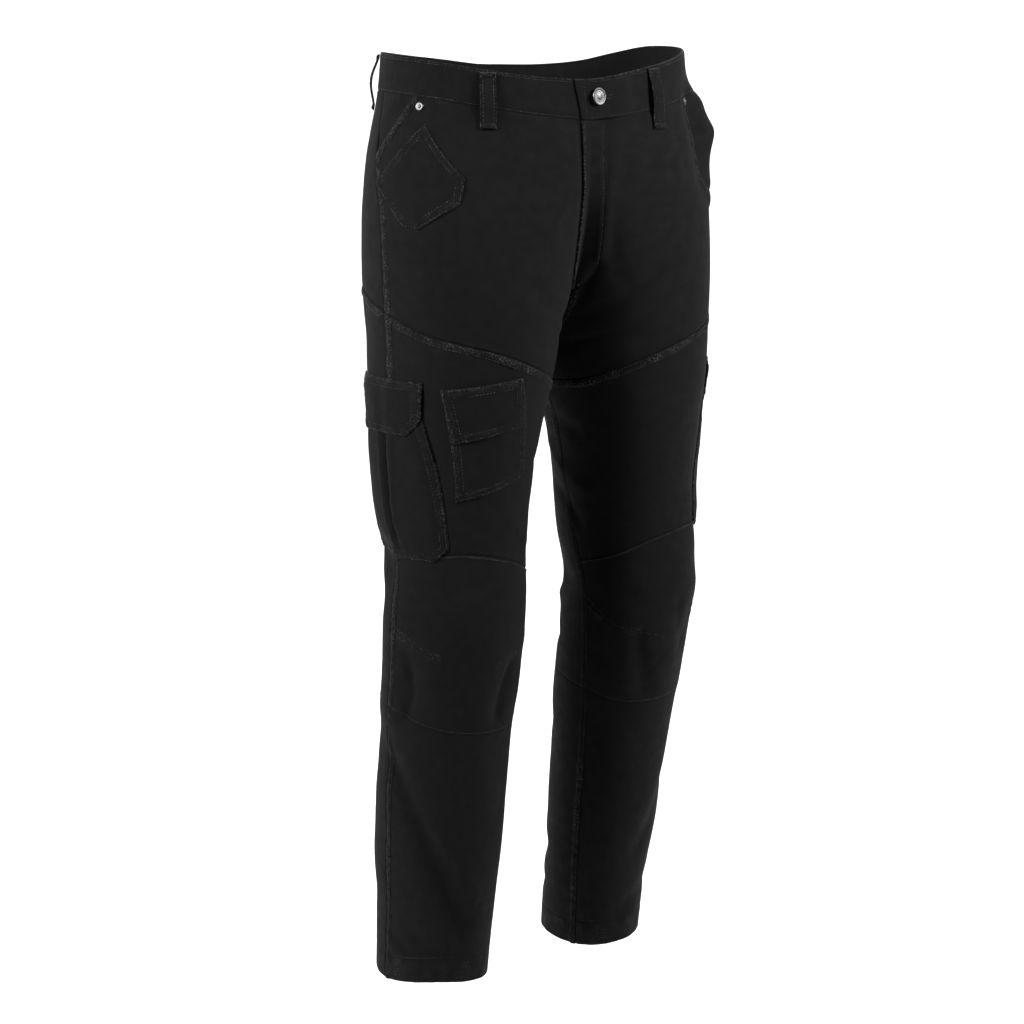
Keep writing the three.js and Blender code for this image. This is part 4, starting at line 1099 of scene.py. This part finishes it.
def leg_stitches(leg):
    runs = []
    for from_t, to_t in ((0.008, 0.492), (0.508, 0.992)):
        for offset in (TOP_ROW, SECOND_ROW):
            runs += sew(leg, seam_line("thigh", offset, from_t, to_t), on_panel)
        runs += sew(leg, seam_line("knee_low", -TOP_ROW, from_t, to_t), on_panel)
        runs += sew(leg, seam_line("hem", -HEM_DEPTH, from_t, to_t), on_panel)
    runs += sew(leg, seam_line("knee_top", TOP_ROW, 0.008, 0.492), on_panel)
    side_from = HIP_MOUTH[leg][-1, 0] + 3
    for offset in (TOP_ROW, SECOND_ROW):
        t = 0.5 - offset / GIRTH
        runs += sew(leg, [(t, drop) for drop in np.linspace(side_from, 1085, 90)], on_panel)
        inseam = 1 - offset / GIRTH
        runs += sew(leg, [(inseam, drop) for drop in np.linspace(CROTCH_DROP + 14, 1080, 70)], on_panel)
        mouth = trace(mouth_line(leg)) * (GIRTH, 1)
        aside = np.gradient(mouth, axis=0)[:, ::-1] * (-1, 1)
        aside = aside / np.linalg.norm(aside, axis=-1, keepdims=True)
        line = (mouth + aside * offset)[14:-6:6] / (GIRTH, 1)

        def on_mouth(legs, t, drop):
            return felled_edge(*line_distance(mouth_line(leg), t, drop)) + THREAD_CLEAR

        runs += sew(leg, line, on_mouth)
    for _, line in DARTS:
        runs += sew(leg, trace(line)[::8], lambda legs, t, drop: on_panel(legs, t, drop) + 0.3)
    if leg == LEFT:
        for offset in (TOP_ROW, SECOND_ROW):
            t = offset / GIRTH
            runs += sew(leg, [(t, drop) for drop in np.linspace(FLY_LOW + 4, CROTCH_DROP - 6, 12)], on_panel)
            runs += sew(leg, [(1 - t, drop) for drop in np.linspace(66, CROTCH_DROP - 4, 50)], on_panel)
    cargo = [
        (CARGO_POCKET, cargo_base, ("start", "end", "bottom")),
        (CARGO_FLAP, cargo_flap_base, ("top", "bottom", "start", "end")),
    ]
    if leg == RIGHT:
        cargo += [
            (THIGH_POCKET, thigh_base, ("start", "end", "bottom")),
            (THIGH_FLAP, thigh_flap_base, ("top", "bottom", "start", "end")),
            (COIN_POCKET, coin_base, ("top", "bottom", "start", "end")),
        ]
    for sides, base, keys in cargo:
        more, height = sew_patch(leg, sides, base, keys)
        runs += more
        if sides in (CARGO_FLAP, THIGH_FLAP):
            middle = np.mean([place[0] for place in sides["top"]])
            for t, drop in (sides["top"][0], sides["top"][-1]):
                runs += bar_tack(leg, mix(t, middle, 0.06), drop + 6, (0, 1), height)
    runs += bar_tack(leg, 0.493, side_from + 1, (0.4, 1), on_panel)
    return runs


def band_stitches():
    runs = []

    def on_band(legs, t, drop):
        around = t * GIRTH * legs
        lift = overlap_lift(from_middle(legs, t)) * ((legs == LEFT) | (t <= BAND_OVER + 0.0001))
        share = (drop - rim_drop(legs, t)) / (level_drop("band", t) - rim_drop(legs, t))
        return band_height(around, share * BAND_HEIGHT, FAR_AWAY + 0 * t) + lift + THREAD_CLEAR

    for leg, from_t in ((RIGHT, 0.014), (LEFT, -0.0085)):
        for share in (EDGE_ROW / BAND_HEIGHT, 1 - TOP_ROW / BAND_HEIGHT):
            t = np.linspace(from_t, 1 - 0.004, 90)
            drop = mix(rim_drop(leg, np.abs(t)), level_drop("band", np.abs(t)), share)
            runs += sew(leg, np.stack([t, drop], -1), on_band, across=True)
    end = [(-0.0055, drop) for drop in np.linspace(36, 70, 8)]
    runs += sew(LEFT, end, on_band, across=True)

    def on_fly(legs, t, drop):
        return REST_GAP + POCKET_CLOTH - 0.25 + 0 * t

    runs += sew(LEFT, trace(FLY_ROW)[::8], on_fly, across=True)
    runs += bar_tack(LEFT, 0.006, 256, (1, 0.35), on_fly, across=True)
    for node, leg, centre, stand_off in LOOPS:
        head, foot = loop_ends(leg, centre)

        def on_loop(legs, t, drop):
            share = (drop - head) / (foot - head)
            gap, thick = loop_height(share, 0 * share, stand_off)
            return gap + thick + loop_tabs(share) + THREAD_CLEAR

        row = LOOP_ROW * LOOP_HALF_WIDTH
        sides = [(leg, centre - row), (leg, centre + row)]
        tacks = [(leg, centre)]
        if leg == BOTH:
            sides = [(RIGHT, 1 - row), (LEFT, 1 - row)]
            tacks = [(RIGHT, 0.992), (LEFT, 0.992)]
        for on_leg, t in sides:
            runs += sew(on_leg, [(t, drop) for drop in np.linspace(head + 3, foot - 3, 20)], on_loop)
        for drop in (head + 4.5, foot - 4):
            for on_leg, t in tacks:
                runs += bar_tack(on_leg, t, drop, (1, 0), on_loop, length=12 / len(tacks))
    for side in (-1, 1):
        line = [(0.004 + 0.026 * k / 8, 52.5 + side * 1.8 - 0.35 * k) for k in range(2, 9)]
        runs += sew(LEFT, line, on_band, pitch=1.3, length=1.9, across=True)
    return runs


def turned(name, node, place, way, profile, relief, sides):
    """A turned metal part: a profile of radius and height in mm, with a relief by radius and angle.

    The profile starts and ends on the axis, and its first and last rings carry a cap each.
    """
    radius, height = (np.array([row[k] for row in profile], float) for k in (0, 1))
    dense = np.linspace(0, len(radius) - 1, 8 * (len(radius) - 1) + 1)[1:-1]
    radius, height = (np.interp(dense, np.arange(len(radius)), values) for values in (radius, height))
    angle = np.linspace(0, 2 * math.pi, sides, endpoint=False)
    r, a = radius[:, None], angle[None, :]
    h = height[:, None] + relief(r, a)
    turn = Vector((0, 0, 1)).rotation_difference(Vector(way)).to_matrix()
    points = np.stack([r * np.cos(a), r * np.sin(a), h], -1).reshape(-1, 3)
    points = points @ np.array(turn).T + place
    index = np.arange(len(points)).reshape(len(radius), sides)
    after = np.roll(index, -1, axis=1)
    quads = np.stack([index[:-1], after[:-1], after[1:], index[1:]], -1).reshape(-1, 4).tolist()
    caps = [index[0, ::-1].tolist(), index[-1].tolist()]
    piece = add_object(name, points, quads + caps, METAL, sharp=40)
    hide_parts(node)


BUTTON_PROFILE = [
    (0, 0), (4.3, 0), (4.8, 1), (8.8, 1.2), (9.5, 2), (9.3, 2.7), (8.6, 3.1), (7.8, 3.0),
    (7.3, 2.5), (6.6, 2.35), (4.6, 2.4), (3.4, 2.6), (2.6, 3.0), (1.4, 3.15), (0, 3.2),
]
RIVET_PROFILE = [
    (0, 0), (4.2, 0), (4.45, 0.5), (4.1, 0.95), (3.3, 1.15), (2.4, 1.1), (1.7, 1.25), (1.3, 1.8),
    (0.8, 2.1), (0, 2.15),
]


def button_relief(r, a):
    beads = 0.34 * bell(r - 5.6, 0.75) * (0.5 + 0.5 * np.cos(14 * a)) * (np.abs(r - 5.6) < 1.8)
    rays = 0.16 * bell(r - 3.6, 0.8) * (0.5 + 0.5 * np.cos(7 * a))
    return (beads + rays) * (r > 2)


def button_piece():
    leg, t, drop = (np.array([v], float) for v in BUTTON_PLACE)
    way = outward(leg, t, drop)[0]
    facing = (way + (0.17, 0, 0)) / np.linalg.norm(way + (0.17, 0, 0))
    place = form(leg, t, drop)[0] + way * (laid_folds(leg, t, drop)[0] + BAND_OVERLAP_LIFT + REST_GAP + 0.3)
    turned("button_front", "button", place, facing, BUTTON_PROFILE, button_relief, 112)


def rivet_piece(node, leg, t, drop):
    leg, t, drop = (np.array([v], float) for v in (leg, t, drop))
    way = outward(leg, t, drop)[0]
    place = cloth(leg, t, drop, 0.5)[0]
    turned(f"{node}_head", node, place, way, RIVET_PROFILE, lambda r, a: 0.02 * np.cos(9 * a) * (r > 2), 56)


class Nodes:
    """A material's node tree, built with short calls."""

    def __init__(self, name):
        self.material = bpy.data.materials.new(name)
        self.material.use_nodes = True
        self.tree = self.material.node_tree
        self.shader = self.tree.nodes["Principled BSDF"]

    def add(self, kind, inputs=None, **settings):
        node = self.tree.nodes.new(kind)
        for key, value in settings.items():
            setattr(node, key, value)
        for key, value in (inputs or {}).items():
            if isinstance(value, bpy.types.NodeSocket):
                self.tree.links.new(value, node.inputs[key])
            else:
                node.inputs[key].default_value = value
        return node

    def math(self, operation, a, b=0.0):
        return self.add("ShaderNodeMath", {0: a, 1: b}, operation=operation).outputs[0]

    def ramp(self, value, low, high, to_low=0.0, to_high=1.0):
        inputs = {"Value": value, "From Min": low, "From Max": high, "To Min": to_low, "To Max": to_high}
        return self.add("ShaderNodeMapRange", inputs).outputs["Result"]

    def noise(self, where, scale, detail=2.0, rough=0.5):
        inputs = {"Vector": where, "Scale": scale, "Detail": detail, "Roughness": rough}
        return self.add("ShaderNodeTexNoise", inputs).outputs["Fac"]

    def mix(self, share, a, b):
        node = self.add("ShaderNodeMix", data_type="RGBA")
        for key, value in (("Factor", share), ("A", a), ("B", b)):
            socket = next(s for s in node.inputs if s.name == key and s.enabled)
            if isinstance(value, bpy.types.NodeSocket):
                self.tree.links.new(value, socket)
            else:
                socket.default_value = value
        return next(s for s in node.outputs if s.enabled)

    def bump(self, height, distance, strength=1.0, normal=None):
        inputs = {"Height": height, "Distance": distance, "Strength": strength}
        if normal is not None:
            inputs["Normal"] = normal
        return self.add("ShaderNodeBump", inputs).outputs["Normal"]

    def link(self, value, name):
        self.tree.links.new(value, self.shader.inputs[name])

    def fix(self, **values):
        for name, value in values.items():
            self.shader.inputs[name.replace("_", " ")].default_value = value


def grey(value, tint=(1.0, 1.0, 1.03)):
    return (value * tint[0], value * tint[1], value * tint[2], 1)


WALE = 0.0011
YARN = 0.0007


def make_twill():
    """Black cotton twill: slanted wales and cross yarns, slow fading, paler rubbed edges, faint lint, and
    painted shade that darkens the fold hollows and the pleat gap.
    """
    n = Nodes("black_twill")
    where = n.add("ShaderNodeUVMap", uv_map="cloth").outputs["UV"]
    axes = n.add("ShaderNodeSeparateXYZ", {"Vector": where}).outputs
    wander = n.ramp(n.noise(where, 260.0), 0.3, 0.7, -0.35, 0.35)
    rise = n.math("MULTIPLY", axes[1], math.pi / WALE)
    slant = n.math("ADD", n.math("MULTIPLY", axes[0], 2 * math.pi / WALE), rise)
    wale = n.math("SINE", n.math("ADD", slant, n.math("MULTIPLY", wander, 3.0)))
    cross = n.math("SINE", n.math("MULTIPLY", axes[1], 2 * math.pi / YARN))
    weave = n.math("ADD", n.math("MULTIPLY", wale, 0.65), n.math("MULTIPLY", cross, 0.35))
    fuzz = n.noise(where, 1900.0, 3.0, 0.65)
    slow = n.noise(where, 14.0, 3.0, 0.55)
    patch = n.noise(where, 75.0, 2.0, 0.5)
    # rubbed carries the per-point attribute: above 0 it is rubbed wear, below 0 it is painted shade.
    rubbed = n.add("ShaderNodeAttribute", attribute_name="wear_and_shade").outputs["Fac"]
    shade = n.math("ADD", n.ramp(slow, 0.3, 0.7, -0.5, 0.5), n.ramp(patch, 0.3, 0.7, -0.25, 0.25))
    base = n.mix(n.ramp(shade, -0.7, 0.7), grey(0.0034), grey(0.0048))
    thread = n.mix(n.ramp(weave, -1, 1, 0.0, 0.55), base, grey(0.0074))
    speck = n.ramp(fuzz, 0.62, 0.8, 0.0, 0.5)
    pale = n.mix(n.math("MULTIPLY", rubbed, n.ramp(fuzz, 0.3, 0.75, 0.05, 0.4)), thread, grey(0.014))
    grit = n.noise(where, 460.0, 3.0, 0.75)
    chafed = n.math("MULTIPLY", n.ramp(rubbed, 0.12, 0.7), n.ramp(grit, 0.52, 0.6))
    pale = n.mix(n.math("MULTIPLY", chafed, 0.62), pale, grey(0.085))
    holes = n.math("MULTIPLY", n.ramp(rubbed, 0.08, 0.4), n.ramp(grit, 0.38, 0.47, 1.0, 0.0))
    pale = n.mix(n.math("MULTIPLY", holes, 0.9), pale, grey(0.0008))
    dusty = n.mix(n.math("MULTIPLY", speck, 0.35), pale, grey(0.016))
    # Painted shade: where the attribute falls below 0, the base darkens towards near black in fold hollows and
    # the pleat gap.
    n.link(n.mix(n.ramp(rubbed, -1.0, 0.0), grey(0.0006), dusty), "Base Color")
    n.link(n.ramp(patch, 0.3, 0.7, 0.84, 0.97), "Roughness")
    fine = n.bump(n.math("ADD", n.math("MULTIPLY", weave, 0.5), fuzz), 0.00016, 0.55)
    rough_edge = n.bump(n.math("MULTIPLY", n.ramp(rubbed, 0.05, 0.6), grit), 0.0016, 0.85, fine)
    n.link(n.bump(patch, 0.0011, 0.4, rough_edge), "Normal")
    n.fix(Specular_IOR_Level=0.13, Sheen_Weight=0.035, Sheen_Roughness=0.4, Sheen_Tint=grey(0.5))
    return n.material


def make_thread():
    """Topstitch thread: a little paler than the twill, with its twist as a bump."""
    n = Nodes("topstitch_thread")
    where = n.add("ShaderNodeTexCoord").outputs["Object"]
    fine = n.noise(where, 2600.0, 2.0, 0.6)
    spotty = n.noise(where, 230.0)
    colour = n.mix(n.ramp(spotty, 0.44, 0.62), grey(0.004), grey(0.07))
    n.link(n.mix(n.ramp(fine, 0.35, 0.7, 0.0, 0.3), colour, grey(0.03)), "Base Color")
    n.link(n.ramp(fine, 0.3, 0.7, 0.5, 0.75), "Roughness")
    n.link(n.bump(fine, 0.00012, 0.6), "Normal")
    n.fix(Specular_IOR_Level=0.2, Sheen_Weight=0.05)
    return n.material


def make_metal():
    """Dark nickel: softly brushed, tarnished in its hollows and brighter where it is rubbed."""
    n = Nodes("dark_nickel")
    where = n.add("ShaderNodeTexCoord").outputs["Object"]
    grain = n.noise(where, 3200.0, 3.0, 0.6)
    stain = n.noise(where, 420.0, 3.0, 0.6)
    proud = n.add("ShaderNodeNewGeometry").outputs["Pointiness"]
    rubbed = n.ramp(proud, 0.46, 0.56)
    dull = n.mix(n.ramp(stain, 0.3, 0.7), (0.06, 0.06, 0.06, 1), (0.12, 0.12, 0.122, 1))
    n.link(n.mix(rubbed, dull, (0.2, 0.2, 0.203, 1)), "Base Color")
    n.link(n.math("ADD", n.ramp(grain, 0.3, 0.7, 0.34, 0.46), n.ramp(stain, 0.3, 0.7, 0.0, 0.12)), "Roughness")
    n.link(n.bump(grain, 0.00005, 0.4), "Normal")
    n.fix(Metallic=1.0)
    return n.material


def make_floor():
    n = Nodes("studio_floor")
    where = n.add("ShaderNodeTexCoord").outputs["Object"]
    n.link(n.mix(n.noise(where, 3.0), (0.86, 0.86, 0.86, 1), (0.88, 0.88, 0.88, 1)), "Base Color")
    n.fix(Roughness=0.9, Specular_IOR_Level=0.1)
    return n.material


TWILL = make_twill()
THREAD = make_thread()
METAL = make_metal()

FLOOR_GAP = 0.32
FLOOR_SIZE = 9.0
WALL_AWAY = 4.2
WALL_HEIGHT = 5.0
SWEEP_RADIUS = 1.2
SWEEP_STEPS = 16
BOX_SPREAD = 95
WIDE_SPREAD = 180
SKY_STRENGTH = 0.022


def add_studio():
    """A pale floor that sweeps up into a wall behind the view, soft boxes, and a dim even sky."""
    lowest = cad_bounds[0].z - FLOOR_GAP
    turn = math.radians(VIEW_TURN)
    ahead = Vector((math.sin(turn), math.cos(turn), 0))
    right = Vector((math.cos(turn), -math.sin(turn), 0))
    profile = [(-FLOOR_SIZE / 2, 0.0), (WALL_AWAY - SWEEP_RADIUS, 0.0)]
    for k in range(1, SWEEP_STEPS + 1):
        a = k / SWEEP_STEPS * math.pi / 2
        away = WALL_AWAY - SWEEP_RADIUS + SWEEP_RADIUS * math.sin(a)
        profile.append((away, SWEEP_RADIUS * (1 - math.cos(a))))
    profile.append((WALL_AWAY, WALL_HEIGHT))
    verts, faces = [], []
    for away, up in profile:
        for side in (-FLOOR_SIZE / 2, FLOOR_SIZE / 2):
            verts.append(ahead * away + right * side + Vector((0, 0, lowest + up)))
    for k in range(len(profile) - 1):
        faces.append((2 * k, 2 * k + 1, 2 * k + 3, 2 * k + 2))
    mesh = bpy.data.meshes.new("studio_sweep")
    mesh.from_pydata([tuple(v) for v in verts], [], faces)
    mesh.materials.append(make_floor())
    mesh.polygons.foreach_set("use_smooth", np.ones(len(faces), bool))
    sweep = bpy.data.objects.new("studio_sweep", mesh)
    bpy.context.scene.collection.objects.link(sweep)
    world = bpy.data.worlds.new("studio_sky")
    world.use_nodes = True
    sky = world.node_tree.nodes["Background"]
    sky.inputs["Color"].default_value = (1, 1, 1, 1)
    sky.inputs["Strength"].default_value = SKY_STRENGTH
    bpy.context.scene.world = world
    middle = Vector((0, 0, -0.35))
    high = lambda z: Vector((0, 0, z))
    boxes = [
        ("key_box", -ahead * 0.5 + right * 2.4 + high(1.0), 1.1, 34.0, BOX_SPREAD, middle + high(0.55)),
        ("left_box", -right * 2.1 - ahead * 1.35 + high(0.9), 1.0, 35.0, BOX_SPREAD, middle + high(0.5)),
        ("rim_box", -right * 1.8 + ahead * 1.6 + high(0.6), 1.0, 4.0, BOX_SPREAD, middle + high(0.2)),
        ("top_box", ahead * 2.2 + high(2.4), 2.8, 125.0, WIDE_SPREAD, ahead * 2.3 + high(-1)),
        ("wall_box", ahead * 2.4 + high(2.6), 3.0, 130.0, WIDE_SPREAD, ahead * WALL_AWAY + high(0.6)),
    ]
    for name, place, size, power, spread, at in boxes:
        light = bpy.data.lights.new(name, "AREA")
        light.shape, light.size, light.energy = "SQUARE", size, power
        light.spread = math.radians(spread)
        box = bpy.data.objects.new(name, light)
        box.location = place
        box.rotation_euler = (at - place).to_track_quat("-Z", "Y").to_euler()
        bpy.context.scene.collection.objects.link(box)


def add_camera():
    data = bpy.data.cameras.new("photo_view")
    data.lens, data.sensor_width, data.shift_x = VIEW_LENS, 36, VIEW_SHIFT
    camera = bpy.data.objects.new("photo_view", data)
    turn, down = math.radians(VIEW_TURN), math.radians(VIEW_DOWN)
    camera.location = (-math.sin(turn) * VIEW_DISTANCE, -math.cos(turn) * VIEW_DISTANCE, ORIGIN_DROP * MM)
    look = Vector((math.sin(turn) * math.cos(down), math.cos(turn) * math.cos(down), -math.sin(down)))
    camera.rotation_euler = look.to_track_quat("-Z", "Y").to_euler()
    bpy.context.scene.collection.objects.link(camera)
    bpy.context.scene.camera = camera
    bpy.context.scene.view_settings.view_transform = "Standard"


add_camera()
add_studio()
add_waistband()
add_fly()
for leg in (RIGHT, LEFT):
    for panel in PANELS:
        add_panel(*panel, leg)
    add_facing(leg)
    letter = suffix(leg)
    add_patch("cargo_pocket" + letter, leg, CARGO_POCKET, cargo_base, marks=(PLEAT_MARK,))
    add_patch("cargo_flap" + letter, leg, CARGO_FLAP, cargo_flap_base)
add_patch("thigh_pocket_R", RIGHT, THIGH_POCKET, thigh_base)
add_patch("thigh_flap_R", RIGHT, THIGH_FLAP, thigh_flap_base)
add_patch("coin_pocket_R", RIGHT, COIN_POCKET, coin_base)
for loop in LOOPS:
    add_loop(*loop)
button_piece()
for rivet in RIVET_PLACES:
    rivet_piece(*rivet)
stitch_meshes("stitching_R", leg_stitches(RIGHT))
stitch_meshes("stitching_L", leg_stitches(LEFT))
stitch_meshes("stitching_band", band_stitches())
